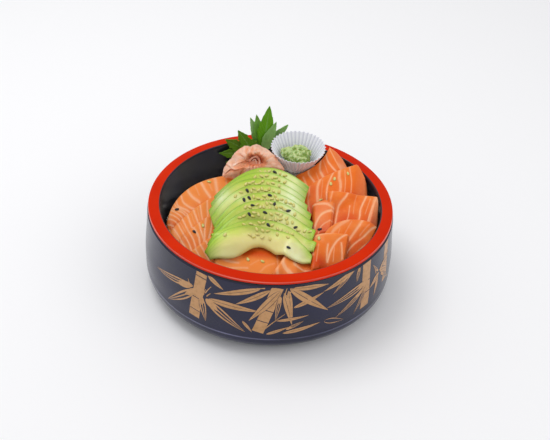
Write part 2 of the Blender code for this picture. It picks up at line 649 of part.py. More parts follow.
def make_ginger(collection):
    """A rosette of folds with a hollow, and a small roll in it."""
    around, rings = GINGER_GRID
    turns = 2 * np.pi * np.arange(around) / around
    shares = np.linspace(0, 1, rings + 1)[1:] ** 0.8
    turn, share = np.meshgrid(turns, shares, indexing="ij")
    front, rim = ginger_surface(turn, share)
    middle, _rim = ginger_surface(np.array([0.1]), np.array([0.02]))
    back = front[:, 3::2].copy()
    lean = math.radians(GINGER_LEAN)
    down = GINGER_BODY * (1 - 0.72 * rim[:, 3::2])
    back[..., 1] += down * math.cos(lean)
    back[..., 2] -= down * math.sin(lean)
    layers = [front[:, k] for k in range(rings)] + [back[:, k] for k in range(back.shape[1] - 1, -1, -1)]
    points = np.concatenate([middle, *layers, [back[:, 0].mean(axis=0)]])
    faces = [(0, 1 + k, 1 + (k + 1) % around) for k in range(around)]
    for layer in range(len(layers) - 1):
        for k in range(around):
            a, b = 1 + layer * around + k, 1 + layer * around + (k + 1) % around
            faces += [(a, a + around, b + around), (a, b + around, b)]
    last = len(points) - 1
    faces += [(last, last - around + (k + 1) % around, last - around + k) for k in range(around)]
    faces = np.array(faces)
    body = mesh_object("ginger", points, outward(points, faces), "ginger", collection)
    across, up, radius, thick = GINGER_ROLL
    rows = np.zeros((8, 3, 3))
    for j, towards in enumerate((-4.0, 0.6, 4.6)):
        bend = np.radians(np.linspace(-33.3, 191.7, 8))
        wide = radius * (1 + 0.12 * j)
        rows[:, j] = plane_place(across + wide * np.cos(bend), up + wide * np.sin(bend), np.full(8, towards))
    points, faces = sheet(rows, thick)
    unite(body, [mesh_object("roll", points, faces, "ginger", collection)])
    return body


def lobe(root, angle, length, width, teeth, lean, curve, bend):
    """A pointed blade of a leaf, its edge cut into teeth, standing in a leaning plane."""
    count = 7 if teeth else 5
    s = np.linspace(0, 1, count)
    t = np.array([-1.0, 0.0, 1.0])
    rising = 0.3 + 0.7 * (s / 0.45) ** 0.7
    falling = 0.04 + 0.96 * np.clip(1 - (s - 0.45) / 0.55, 0, 1) ** 0.8
    half = width / 2 * np.where(s < 0.45, rising, falling)
    if teeth:
        half = half * (1 + 0.34 * np.where(np.arange(count) % 2 == 1, -1.0, 1.0))
    turn = math.radians(angle)
    rows = np.zeros((count, 3, 3))
    for i in range(count):
        for j in range(3):
            across = t[j] * half[i]
            x = math.sin(turn) * s[i] * length + math.cos(turn) * across
            z = math.cos(turn) * s[i] * length - math.sin(turn) * across
            dip = 0.8 * (1 - abs(t[j])) + bend * s[i] ** 2
            rows[i, j] = (root[0] + x, root[1] + lean * (z + 4) + dip - curve * x * x, root[2] + z)
    return sheet(rows, LEAF_THICK)


def make_leaf(name, root, lobes, lean, curve, collection):
    """Lobes one behind another, held by the end of their stem."""
    shapes = []
    middle = (len(lobes) - 1) / 2
    for number, (angle, length, width, teeth) in enumerate(lobes):
        place = (root[0], root[1] + (middle - number) * 1.15, root[2])
        points, faces = lobe(place, angle, length, width, teeth, lean, curve, (number % 3 - 1) * 0.9)
        shapes.append(mesh_object("lobe", points, faces, "leaf", collection))
    stem, faces = ball((6, 2.4 + 2.3 * middle, 7), 6, 2)
    body = mesh_object(name, stem + (root[0], root[1] + 0.4, root[2] + 0.5), faces, "leaf", collection)
    unite(body, shapes)
    return body


def cup_point(radius, turn, z):
    """A point of the tilted cup, from its radius, its turn about the cup's axis and its height in it."""
    tilt = math.radians(CUP_TILT)
    x, y = radius * math.cos(turn), radius * math.sin(turn)
    return (
        CUP_CENTRE[0] + x,
        CUP_CENTRE[1] + y * math.cos(tilt) - z * math.sin(tilt),
        CUP_BASE_Z + y * math.sin(tilt) + z * math.cos(tilt),
    )


def make_cup(collection):
    """Pleated paper cup: a zigzag wall on a flat base, of one even thickness."""
    around = CUP_PLEATS * 2
    levels = [(0.0, CUP_BASE_R, 0.3), (CUP_HEIGHT, CUP_TOP_R, 1.0)]
    points = []
    for inner in (0, 1):
        for z, radius, share in levels:
            for k in range(around):
                turn = 2 * math.pi * k / around
                reach = radius + CUP_PLEAT_DEPTH * share * (1 if k % 2 else -1) - inner * CUP_THICK * 1.35
                points.append(cup_point(reach, turn, z + inner * (CUP_THICK if z == 0 else 0)))
    points.append(cup_point(0, 0, 0))
    points.append(cup_point(0, 0, CUP_THICK))
    per = around * len(levels)
    under, over = len(points) - 2, len(points) - 1
    faces = []
    for k in range(around):
        n = (k + 1) % around
        for level in range(len(levels) - 1):
            a, b = level * around + k, level * around + n
            c, d = b + around, a + around
            faces += [(a, b, c), (a, c, d), (a + per, c + per, b + per), (a + per, d + per, c + per)]
        top = (len(levels) - 1) * around
        faces += [(top + k, top + n, top + n + per), (top + k, top + n + per, top + k + per)]
        faces += [(under, n, k), (over, per + k, per + n)]
    points, faces = np.array(points), np.array(faces)
    return mesh_object("paper_cup", points, outward(points, faces), "paper", collection)


def make_wasabi(collection):
    """Soft lumps heaped in the paper cup."""
    shapes = []
    body = None
    for x, y, z, long, wide, tall in reversed(WASABI):
        points, faces = ball((2 * long, 2 * wide, 2 * tall), 8, 3)
        cx, cy, cz = cup_point(math.hypot(x, y), math.atan2(y, x), z)
        made = mesh_object("lump" if body else "wasabi", points + (cx, cy, cz), faces, "wasabi", collection)
        if body is None:
            body = made
        else:
            shapes.append(made)
    unite(body, shapes)
    return body


def main():
    clear_scene()
    collection = collection_of("chirashi_bowl")
    make_tub(collection)
    made, lows, height, owner = make_slices(collection)
    places = seed_places(owner, height)
    seed, seed_faces = ball(SEED, 4, 2, 0.25)
    for number, (name, points, faces, kind) in enumerate(made):
        body = mesh_object(name, points, faces, kind, collection)
        shapes = []
        for x, y, turn, on in places:
            if on == number:
                ahead = (math.cos(math.radians(turn)), math.sin(math.radians(turn)))
                z0 = float(sample(height, x, y))
                dz = float(sample(height, x + ahead[0], y + ahead[1])) - z0
                grain = turned(seed, turn, -math.degrees(math.atan(dz))) + (x, y, z0 + 0.25)
                shapes.append(mesh_object("seed", grain, seed_faces, kind, collection))
        unite(body, shapes)
    cup = make_cup(collection)
    wasabi = make_wasabi(collection)
    ginger = make_ginger(collection)
    leaf = make_leaf("leaf_back", LEAF_ROOT, LEAF_LOBES, 0.13, 0.0, collection)
    side = make_leaf("leaf_side", SIDE_ROOT, SIDE_LOBES, 0.06, 0.006, collection)
    for piece in (cup, wasabi, ginger, leaf, side):
        points, faces = points_and_faces(piece)
        low, _high = low_and_high(points, faces)
        lows = np.minimum(lows, low)
    make_rice(lows, collection)


main()
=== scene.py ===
# Chirashi bowl: a lacquered tub of rice under sliced salmon, a fan of avocado, pickled ginger,
# leaves and a pleated paper cup of wasabi. Lengths here are in millimetres and become metres when
# a mesh is made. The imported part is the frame, and each piece here stands for the node it replaces.
import math
import random

import bmesh
import bpy
import numpy as np
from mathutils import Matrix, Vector, noise
from mathutils.bvhtree import BVHTree
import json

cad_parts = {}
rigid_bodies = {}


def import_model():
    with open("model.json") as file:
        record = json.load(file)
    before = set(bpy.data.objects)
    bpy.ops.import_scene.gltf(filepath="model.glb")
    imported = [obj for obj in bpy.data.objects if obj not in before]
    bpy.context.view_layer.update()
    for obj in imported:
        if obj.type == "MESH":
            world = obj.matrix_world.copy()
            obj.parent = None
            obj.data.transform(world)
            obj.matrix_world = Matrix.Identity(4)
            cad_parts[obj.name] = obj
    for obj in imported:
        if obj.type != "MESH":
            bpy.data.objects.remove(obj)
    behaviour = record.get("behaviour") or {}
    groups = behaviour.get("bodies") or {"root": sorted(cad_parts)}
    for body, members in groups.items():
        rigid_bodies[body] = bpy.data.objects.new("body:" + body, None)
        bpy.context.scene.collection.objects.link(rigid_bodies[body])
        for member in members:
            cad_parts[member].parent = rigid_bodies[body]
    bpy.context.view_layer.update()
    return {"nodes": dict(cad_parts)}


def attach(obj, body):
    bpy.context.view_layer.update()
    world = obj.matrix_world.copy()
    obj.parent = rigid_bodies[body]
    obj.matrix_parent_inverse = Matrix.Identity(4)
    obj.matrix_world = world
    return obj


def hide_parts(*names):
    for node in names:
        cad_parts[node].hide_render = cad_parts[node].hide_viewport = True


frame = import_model()
mm = 0.001

# Colours, as sRGB
palette = {
    "wall": "#191A3C", "wallDeep": "#131430", "wallHighlight": "#6E6E8E", "inside": "#1D1817",
    "rim": "#C82300", "rimLight": "#D42B00", "rimHighlight": "#F0705C", "gold": "#C39260",
    "goldDeep": "#A5763F", "rice": "#FFFDF8", "riceShade": "#F4EFE4", "fish": "#E86402",
    "fishDeep": "#D44200", "fishPale": "#F59445", "fat": "#F9BB8E", "avocadoRim": "#86AE16",
    "avocadoGreen": "#B4CC38", "avocadoPale": "#D2DA64", "avocadoCream": "#E8DC8C",
    "avocadoPaleAndHighlight": "#F0F8C8", "avocadoLime": "#AEDC2E", "avocadoOlive": "#8C9A26", "wasabi": "#CADC98",
    "wasabiShade": "#7E9A38", "ginger": "#FAAC84", "gingerDeep": "#F8966A", "gingerHighlight": "#FAC8B2",
    "leaf": "#62A40E", "leafDark": "#5A8408", "leafPale": "#9CC87C", "paper": "#F6F6FD",
    "paperShade": "#C8C8D8", "seedPale": "#CDC052", "seedLight": "#F2EDB8", "seedDark": "#1E1C12",
    "floor": "#F8F8FA",
}

# Height and inner radius of the tub, height of its floor, and the gap kept between pieces
tubHeight, innerWall, floorZ, gap = 72.0, 86.4, 6.0, 0.3

# Height field that the slices are laid on, one after the other: size of a cell, half of the field's
# side, and how many cells a lift is smoothed over
cell, half, smoothCells = 0.5, 104.0, 6
axis = np.arange(-half, half + cell / 2, cell)
gridX, gridY = np.meshgrid(axis, axis, indexing="ij")


def cellOf(value):
    return (np.asarray(value) + half) / cell


def sample(field, x, y):
    i = np.clip(cellOf(x), 0, len(axis) - 1.001)
    j = np.clip(cellOf(y), 0, len(axis) - 1.001)
    i0, j0 = i.astype(int), j.astype(int)
    fi, fj = i - i0, j - j0
    near = field[i0, j0] * (1 - fj) + field[i0, j0 + 1] * fj
    far = field[i0 + 1, j0] * (1 - fj) + field[i0 + 1, j0 + 1] * fj
    return near * (1 - fi) + far * fi


def spread(field, cells, rule):
    for turn in (0, 1):
        out = field
        for step in range(1, cells + 1):
            lead = [(0, 0), (0, 0)]
            lead[turn] = (step, step)
            wide = np.pad(field, lead, mode="edge")
            cut = [slice(None), slice(None)]
            cut[turn] = slice(0, field.shape[turn])
            out = rule(out, wide[tuple(cut)])
            cut[turn] = slice(2 * step, 2 * step + field.shape[turn])
            out = rule(out, wide[tuple(cut)])
        field = out
    return field


def blur(field, cells):
    for turn in (0, 1):
        lead = [(0, 0), (0, 0)]
        lead[turn] = (cells + 1, cells)
        total = np.cumsum(np.pad(field, lead, mode="edge"), axis=turn)
        size = field.shape[turn]
        high = [slice(None), slice(None)]
        low = [slice(None), slice(None)]
        high[turn] = slice(2 * cells + 1, 2 * cells + 1 + size)
        low[turn] = slice(0, size)
        field = (total[tuple(high)] - total[tuple(low)]) / (2 * cells + 1)
    return field


def lowAndHigh(points, faces):
    low = np.full(gridX.shape, np.inf)
    high = np.full(gridX.shape, -np.inf)
    for a, b, c in points[faces]:
        first, last = np.minimum(np.minimum(a, b), c)[:2], np.maximum(np.maximum(a, b), c)[:2]
        i0, j0 = np.maximum(np.floor(cellOf(first)), 0).astype(int)
        i1, j1 = np.minimum(np.ceil(cellOf(last)), len(axis) - 1).astype(int) + 1
        area = (b[0] - a[0]) * (c[1] - a[1]) - (c[0] - a[0]) * (b[1] - a[1])
        if abs(area) < 1e-9:
            continue
        x, y = gridX[i0:i1, j0:j1], gridY[i0:i1, j0:j1]
        s = ((x - a[0]) * (c[1] - a[1]) - (c[0] - a[0]) * (y - a[1])) / area
        t = ((b[0] - a[0]) * (y - a[1]) - (x - a[0]) * (b[1] - a[1])) / area
        inside = (s >= -1e-6) & (t >= -1e-6) & (s + t <= 1 + 1e-6)
        z = a[2] + s * (b[2] - a[2]) + t * (c[2] - a[2])
        low[i0:i1, j0:j1] = np.where(inside, np.minimum(low[i0:i1, j0:j1], z), low[i0:i1, j0:j1])
        high[i0:i1, j0:j1] = np.where(inside, np.maximum(high[i0:i1, j0:j1], z), high[i0:i1, j0:j1])
    return low, high


# Nodes of a material
def toLinear(code):
    parts = [int(code[k : k + 2], 16) / 255 for k in (1, 3, 5)]
    return tuple(c / 12.92 if c <= 0.04045 else ((c + 0.055) / 1.055) ** 2.4 for c in parts) + (1.0,)


def fill(tree, node, values):
    # Each value becomes a link, a colour of the palette or the socket's own value
    for key, value in values:
        if isinstance(value, bpy.types.NodeSocket):
            tree.links.new(value, node.inputs[key])
        elif isinstance(value, str) and value in palette:
            node.inputs[key].default_value = toLinear(palette[value])
        else:
            node.inputs[key].default_value = value


def addNode(tree, kind, values=None, **settings):
    node = tree.nodes.new(kind)
    for key, value in settings.items():
        setattr(node, key, value)
    fill(tree, node, (values or {}).items())
    return node


def startMaterial(name, colour, **settings):
    found = bpy.data.materials.new(name)
    found.use_nodes = True
    shader = found.node_tree.nodes["Principled BSDF"]
    shader.inputs["Base Color"].default_value = toLinear(palette[colour])
    for key, value in settings.items():
        shader.inputs[key.replace("_", " ")].default_value = value
    found.diffuse_color = toLinear(palette[colour])
    return found, found.node_tree, shader


def mixColour(tree, factor, first, second):
    node = addNode(tree, "ShaderNodeMix", data_type="RGBA")
    fill(tree, node, ((0, factor), (6, first), (7, second)))
    return node.outputs[2]


def rangeOf(tree, value, low, high, toLow=0.0, toHigh=1.0):
    # The value carried from one range over to another, and held at its ends
    limits = {"Value": value, "From Min": low, "From Max": high, "To Min": toLow, "To Max": toHigh}
    return addNode(tree, "ShaderNodeMapRange", limits).outputs["Result"]


def noiseField(tree, size, detail=3.0, rough=0.5, low=0.3, high=0.7, stretch=None):
    # A cloud of the given size in millimetres, spread over 0 to 1
    where = addNode(tree, "ShaderNodeTexCoord").outputs["Object"]
    if stretch:
        where = addNode(tree, "ShaderNodeMapping", {"Vector": where, "Scale": stretch}).outputs["Vector"]
    cloud = addNode(tree, "ShaderNodeTexNoise", {
        "Vector": where, "Scale": 1000 / size, "Detail": detail, "Roughness": rough,
    })
    return rangeOf(tree, cloud.outputs["Fac"], low, high)


def maths(tree, operation, first, second=0.0):
    node = addNode(tree, "ShaderNodeMath", operation=operation)
    fill(tree, node, ((0, first), (1, second)))
    return node.outputs[0]


def times(tree, first, second):
    return maths(tree, "MULTIPLY", first, second)


def plus(tree, first, second):
    return maths(tree, "ADD", first, second)


def attribute(tree, name):
    return addNode(tree, "ShaderNodeAttribute", attribute_name=name).outputs["Fac"]


def ramp(tree, factor, stops):
    node = addNode(tree, "ShaderNodeValToRGB", {"Fac": factor})
    elements = node.color_ramp.elements
    while len(elements) < len(stops):
        elements.new(0.5)
    for element, (at, colour) in zip(elements, stops):
        element.position = at
        element.color = toLinear(palette[colour])
    return node.outputs["Color"]


def addBump(tree, shader, height, distance, strength=1.0):
    values = {"Height": height, "Distance": distance * mm, "Strength": strength}
    bump = addNode(tree, "ShaderNodeBump", values)
    tree.links.new(bump.outputs["Normal"], shader.inputs["Normal"])


def paint(tree, shader, colour):
    tree.links.new(colour, shader.inputs["Base Color"])


# Materials
def lacquerMaterial(name, colour, second, roughness, coat, gloss):
    # Hard glossy lacquer over moulded resin, with a faint unevenness of the coat
    found, tree, shader = startMaterial(
        name, colour, Roughness=roughness, Coat_Weight=coat, Coat_Roughness=0.07, Specular_IOR_Level=gloss
    )
    paint(tree, shader, mixColour(tree, noiseField(tree, 38, 3), colour, second))
    addBump(tree, shader, noiseField(tree, 9, 2), 0.03, 0.35)
    return found


def goldMaterial():
    # Gold powder print, a little patchy where it was rubbed
    found, tree, shader = startMaterial(
        "gold_powder_print", "gold", Roughness=0.42, Metallic=0.25, Coat_Weight=0.3
    )
    paint(tree, shader, mixColour(tree, noiseField(tree, 3.5, 5, 0.7, 0.45, 0.75), "gold", "goldDeep"))
    addBump(tree, shader, noiseField(tree, 0.6, 3), 0.02, 0.4)
    return found


def riceMaterial():
    # Cooked rice, white with a moist skin
    found, tree, shader = startMaterial("cooked_rice", "rice", Roughness=0.38, Coat_Weight=0.15)
    paint(tree, shader, mixColour(tree, noiseField(tree, 2.4, 3), "rice", "riceShade"))
    addBump(tree, shader, noiseField(tree, 0.8, 3), 0.05, 0.4)
    return found


def fishMaterial():
    # Raw salmon: orange flesh in bands, pale fat between them, wet surface; a painted highlight along the
    # edges, and darker red that is partly deeper flesh and partly painted shade
    found, tree, shader = startMaterial(
        "raw_salmon", "fish", Roughness=0.32, Subsurface_Weight=0.1, Subsurface_Scale=0.002, Coat_Weight=0.07,
        Coat_Roughness=0.1, Specular_IOR_Level=0.16, Subsurface_Radius=(1.0, 0.4, 0.2),
    )
    flesh = mixColour(tree, attribute(tree, "pale"), "fish", "fishPale")
    cloud = rangeOf(tree, noiseField(tree, 12, 3, 0.6), 0, 1, -0.25, 0.35)
    flesh = mixColour(tree, plus(tree, cloud, attribute(tree, "lit")), flesh, "fishPale")
    flesh = mixColour(tree, attribute(tree, "deep"), flesh, "fishDeep")
    grain = noiseField(tree, 1.6, 4, 0.7, 0.25, 0.8, (1.0, 0.35, 1.0))
    flesh = mixColour(tree, rangeOf(tree, grain, 0.6, 1.0, 0, 0.4), flesh, "fishPale")
    line = times(tree, attribute(tree, "fat"), rangeOf(tree, grain, 0, 1, 0.6, 1.0))
    paint(tree, shader, mixColour(tree, line, flesh, "fat"))
    addBump(tree, shader, plus(tree, grain, attribute(tree, "fat")), 0.12, 0.5)
    return found


def avocadoMaterial():
    # Ripe avocado: green under the skin, yellow cream towards the stone
    found, tree, shader = startMaterial(
        "avocado_flesh", "avocadoPale", Roughness=0.4, Subsurface_Weight=0.15, Subsurface_Scale=0.002,
        Coat_Weight=0.14, Coat_Roughness=0.16, Subsurface_Radius=(0.8, 1.0, 0.3),
    )
    cloud = times(tree, maths(tree, "SUBTRACT", noiseField(tree, 11, 4, 0.6), 0.5), 0.16)
    depth = plus(tree, attribute(tree, "depth"), cloud)
    stops = [(0.0, "avocadoRim"), (0.05, "avocadoGreen"), (0.22, "avocadoPale"), (0.55, "avocadoCream")]
    flesh = ramp(tree, depth, stops)
    cloud = rangeOf(tree, noiseField(tree, 7, 4, 0.6), 0, 1, 0.55, 1.1)
    # The light spots are a painted highlight
    for key, colour in (("olive", "avocadoOlive"), ("light", "avocadoPaleAndHighlight"), ("lime", "avocadoLime")):
        flesh = mixColour(tree, times(tree, attribute(tree, key), cloud), flesh, colour)
    streak = noiseField(tree, 1.8, 4, 0.65, 0.2, 0.8, (0.35, 1.0, 1.0))
    uneven = plus(tree, depth, times(tree, streak, 0.12))
    layers = maths(tree, "SINE", times(tree, uneven, 34))
    layers = times(tree, rangeOf(tree, layers, 0.1, 1.0, 0, 0.5), attribute(tree, "lime"))
    flesh = mixColour(tree, layers, flesh, "avocadoOlive")
    # Pale streaks in the flesh, in the same pale highlight colour
    flesh = mixColour(tree, rangeOf(tree, streak, 0.66, 0.95, 0, 0.22), flesh, "avocadoPaleAndHighlight")
    paint(tree, shader, mixColour(tree, attribute(tree, "shade"), flesh, "avocadoRim"))
    addBump(tree, shader, streak, 0.1, 0.4)
    return found


def gingerMaterial():
    # Pickled ginger, thin and see-through: a painted highlight on the ridges and free edges, and deeper
    # orange, partly painted shade, where it lies deep in the hollow and folds
    found, tree, shader = startMaterial(
        "pickled_ginger", "ginger", Roughness=0.34, Subsurface_Weight=0.3, Subsurface_Scale=0.003,
        Coat_Weight=0.28, Coat_Roughness=0.12, Subsurface_Radius=(1.0, 0.5, 0.35),
    )
    blend = plus(tree, attribute(tree, "deep"), times(tree, noiseField(tree, 5, 4), 0.25))
    flesh = mixColour(tree, blend, "ginger", "gingerDeep")
    paint(tree, shader, mixColour(tree, rangeOf(tree, blend, 0.02, 0.4, 0.8, 0.0), flesh, "gingerHighlight"))
    addBump(tree, shader, noiseField(tree, 1.5, 4, 0.6, 0.2, 0.8, (0.4, 1.0, 1.0)), 0.15, 0.5)
    return found


def leafMaterial():
    # Fresh leaf with pale veins and a lighter underside on some lobes, and painted shade on the lobes that
    # lie in shadow inside the tub
    found, tree, shader = startMaterial("fresh_leaf", "leaf", Roughness=0.42, Specular_IOR_Level=0.12)
    tone = attribute(tree, "tone")
    colour = mixColour(tree, rangeOf(tree, tone, 0.0, 1.0), "leaf", "leafPale")
    colour = mixColour(tree, rangeOf(tree, tone, 0.0, -1.0), colour, "leafDark")
    colour = mixColour(tree, times(tree, noiseField(tree, 6, 4), 0.35), colour, "leafDark")
    colour = mixColour(tree, times(tree, attribute(tree, "vein"), 0.35), colour, "leafPale")
    paint(tree, shader, colour)
    relief = maths(tree, "SUBTRACT", noiseField(tree, 1.4, 4), attribute(tree, "vein"))
    addBump(tree, shader, relief, 0.15, 0.6)
    return found


def paperMaterial():
    # Thin waxed paper with pressed pleats, and painted shade in the pleat valleys, stronger on the inside
    found, tree, shader = startMaterial("waxed_paper", "paper", Roughness=0.55, Specular_IOR_Level=0.3)
    paint(tree, shader, mixColour(tree, attribute(tree, "valley"), "paper", "paperShade"))
    addBump(tree, shader, noiseField(tree, 1.2, 3), 0.03, 0.25)
    return found


def wasabiMaterial():
    # Soft green paste with fine crumbs, with painted shade in the gaps between lumps and low in the cup
    found, tree, shader = startMaterial(
        "green_paste", "wasabi", Roughness=0.5, Subsurface_Weight=0.2, Subsurface_Scale=0.002, Coat_Weight=0.1
    )
    blend = plus(tree, attribute(tree, "deep"), times(tree, noiseField(tree, 3, 4), 0.25))
    paint(tree, shader, mixColour(tree, blend, "wasabi", "wasabiShade"))
    addBump(tree, shader, noiseField(tree, 0.9, 5, 0.7), 0.2, 0.6)
    return found


def seedMaterial(name, colour):
    # Roasted sesame
    found, tree, shader = startMaterial(name, colour, Roughness=0.4, Coat_Weight=0.1)
    shade = "seedLight" if colour == "seedPale" else "wall"
    paint(tree, shader, mixColour(tree, times(tree, noiseField(tree, 2.2, 3), 0.5), colour, shade))
    addBump(tree, shader, noiseField(tree, 0.4, 3), 0.03, 0.5)
    return found


def floorMaterial():
    # Plain matt studio floor
    return startMaterial("studio_floor", "floor", Roughness=0.75, Specular_IOR_Level=0.2)[0]


# Meshes
def addObject(name, data):
    made = bpy.data.objects.new(name, data)
    bpy.context.scene.collection.objects.link(made)
    return made


def addField(mesh, key, values):
    # A value for each point, which a material reads
    layer = mesh.attributes.new(key, "FLOAT", "POINT")
    layer.data.foreach_set("value", np.asarray(values, dtype=np.float32).ravel())


def smoothShade(mesh):
    mesh.polygons.foreach_set("use_smooth", [True] * len(mesh.polygons))


def makeMesh(name, points, faces, materials, fields=None, sharp=None, slots=None):
    # Points in millimetres, and faces as an array or as a list of rows of any length
    mesh = bpy.data.meshes.new(name)
    rows = faces.tolist() if isinstance(faces, np.ndarray) else faces
    mesh.from_pydata((np.asarray(points) * mm).tolist(), [], rows)
    for material in materials:
        mesh.materials.append(material)
    if slots is not None:
        mesh.polygons.foreach_set("material_index", np.asarray(slots, dtype=np.int32))
    for key, values in (fields or {}).items():
        addField(mesh, key, values)
    smoothShade(mesh)
    if sharp:
        mesh.set_sharp_from_angle(angle=math.radians(sharp))
    mesh.update()
    return addObject(name, mesh)


def settle(made, modifier):
    # The mesh that the modifier makes takes the place of the object's own
    graph = bpy.context.evaluated_depsgraph_get()
    made.data = bpy.data.meshes.new_from_object(made.evaluated_get(graph))
    made.modifiers.remove(modifier)


def joined(parts):
    # Points and faces of several meshes as those of one
    starts = np.cumsum([0] + [len(points) for points, _faces in parts])
    points = np.concatenate([points for points, _faces in parts])
    return points, np.concatenate([faces + start for (_points, faces), start in zip(parts, starts)])


def finishPiece(piece, slot, *nodes):
    if nodes:
        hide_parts(*nodes)
    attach(piece, "root")


def outward(points, faces):
    tri = faces[:, :3]
    a, b, c = (points[tri[:, k]] for k in range(3))
    volume = np.einsum("ij,ij->i", a, np.cross(b, c)).sum()
    if faces.shape[1] == 4:
        d = points[faces[:, 3]]
        volume += np.einsum("ij,ij->i", a, np.cross(c, d)).sum()
    return faces if volume > 0 else faces[:, ::-1]


def slabQuads(nu, nv):
    # Closed slab: top grid, bottom grid and the edge between, in quads
    i, j = np.meshgrid(np.arange(nu - 1), np.arange(nv - 1), indexing="ij")
    a = (i * nv + j).ravel()
    b, c, d = a + nv, a + nv + 1, a + 1
    under = nu * nv
    top = np.stack([a, d, c, b], axis=1)
    bottom = np.stack([a, b, c, d], axis=1) + under
    ring = [k * nv for k in range(nu)] + [(nu - 1) * nv + k for k in range(1, nv)]
    ring += [k * nv + nv - 1 for k in range(nu - 2, -1, -1)] + list(range(nv - 2, 0, -1))
    ring = np.array(ring)
    after = np.roll(ring, -1)
    side = np.stack([ring, after, after + under, ring + under], axis=1)
    return np.concatenate([top, bottom, side])


def slabTriangles(nu, nv):
    quads = slabQuads(nu, nv)
    return np.concatenate([quads[:, [0, 1, 2]], quads[:, [0, 2, 3]]])


def sheet(rows, thick):
    nu, nv, _ = rows.shape
    normal = np.cross(np.gradient(rows, axis=0), np.gradient(rows, axis=1))
    normal /= np.maximum(np.linalg.norm(normal, axis=2, keepdims=True), 1e-9)
    top, bottom = rows + normal * thick / 2, rows - normal * thick / 2
    points = np.concatenate([top.reshape(-1, 3), bottom.reshape(-1, 3)])
    return points, outward(points, slabQuads(nu, nv))


def ball(size, sides, rings, taper=0.0):
    points = [(size[0] / 2, 0, 0)]
    for ring in range(1, rings + 1):
        angle = math.pi * ring / (rings + 1)
        reach = math.sin(angle) * (1 - taper * math.cos(angle))
        for side in range(sides):
            turn = 2 * math.pi * (side + 0.5 * (ring % 2)) / sides
            points.append((
                math.cos(angle) * size[0] / 2,
                math.cos(turn) * reach * size[1] / 2,
                math.sin(turn) * reach * size[2] / 2,
            ))
    points.append((-size[0] / 2, 0, 0))
    last = len(points) - 1
    faces = []
    for side in range(sides):
        following = (side + 1) % sides
        faces.append((0, 1 + side, 1 + following))
        faces.append((last, last - sides + following, last - sides + side))
        for ring in range(rings - 1):
            a, b = 1 + ring * sides + side, 1 + ring * sides + following
            c, d = a + sides, b + sides
            faces += [(a, c, b), (b, c, d)] if ring % 2 == 0 else [(a, c, d), (a, d, b)]
    return np.array(points), np.array(faces)


def smoothLine(points, count):
    points = np.array(points, float)
    padded = np.concatenate([[2 * points[0] - points[1]], points, [2 * points[-1] - points[-2]]])
    out = []
    for k in range(len(points) - 1):
        a, b, c, d = padded[k : k + 4]
        for t in np.arange(count) / count:
            line = 2 * b + (c - a) * t
            out.append(0.5 * (line + (2 * a - 5 * b + 4 * c - d) * t**2 + (3 * b - a - 3 * c + d) * t**3))
    return out + [points[-1]]


# Slices: corners back left, back right, front right and front left as x, y and height of the top face,
# then how far the back and front edges bow, how much they rise in the middle, the thickness, how far
# the left margin falls away, and where the right end runs down to from its back and front corner
fishSlices = [
    ("salmon_left_1", (-82, -10, 54), (-33, 46, 63), (-28, 16, 56), (-76, -32, 48),
     14, 8, 2.0, 0.5, 3.8, 2, (1, 0, -1), (1, 0, -1)),
    ("salmon_left_2", (-78, -25, 56), (-36, 27, 62), (-28, -2, 56), (-69, -48, 49),
     3, 2, 1.0, 0.5, 3.8, 2, (1, 0, -1), (1, 0, -1)),
    ("salmon_left_3", (-70, -39, 57), (-38, 1, 62.5), (-28, -26, 56), (-60, -60, 49),
     2, 2, 1.0, 0.5, 3.8, 2, (1, 0, -1), (1, 0, -1)),
    ("salmon_left_4", (-61, -53, 57), (-41, -33, 62), (-26, -52, 56), (-48, -70, 49),
     1, 2, 0.5, 0.5, 3.8, 2, (1, 0, -1), (1, 0, -1)),
    ("salmon_front_1", (-46, -44, 58.5), (14, -39, 57), (22, -79, 52.5), (-34, -78, 53),
     2, 3, 1.5, 0.5, 4.4, 1, (1, 0, -1), (1, 0, -1)),
    ("salmon_front_2", (14, -49, 58.5), (36, -46, 60), (38, -74, 54), (1, -80, 54),
     2, 2, 1.5, 0.5, 3.8, 2, (1, 0, -1), (1, 0, -1)),
    ("salmon_right_1", (20, 47, 65.5), (47, 69.5, 80), (60, 41, 69), (26, 16, 62),
     -5, 0, 0.0, 0.5, 5.0, 0, (10, -2, -6), (10, 2, -5)),
    ("salmon_right_2", (26, 23, 69), (69, 49, 78), (65, 12, 67), (26, -8, 60),
     2, 0, 1.0, 0.5, 5.0, 0, (8, 0, -3.5), (14, 2, -5)),
    ("salmon_right_3", (45, 14, 67.5), (84.5, 10, 73), (76, -24, 61), (44, -27, 58),
     1, 0, 1.0, 0.5, 5.0, 1, (1.5, -3, -3), (8, 0, -4)),
    ("salmon_right_4", (33, 2, 69), (49, 2, 72.5), (46, -26, 64), (34, -28, 61),
     2, 0, 1.5, 0.0, 3.4, 1, (2, 0, -2), (2, 0, -2)),
    ("salmon_right_5", (40, -34, 65), (84, -20, 67), (67, -53, 56), (40, -60, 55),
     11, 2, 4.0, 0.0, 4.4, 1, (1, -1, -2), (1, -1, -2)),
    ("salmon_right_6", (33, -34, 67), (60, -34, 69.5), (56, -60, 58), (32, -68, 55),
     1, 1, 1.0, 0.0, 3.4, 1, (1.5, 0, -2), (1.5, 0, -2)),
]

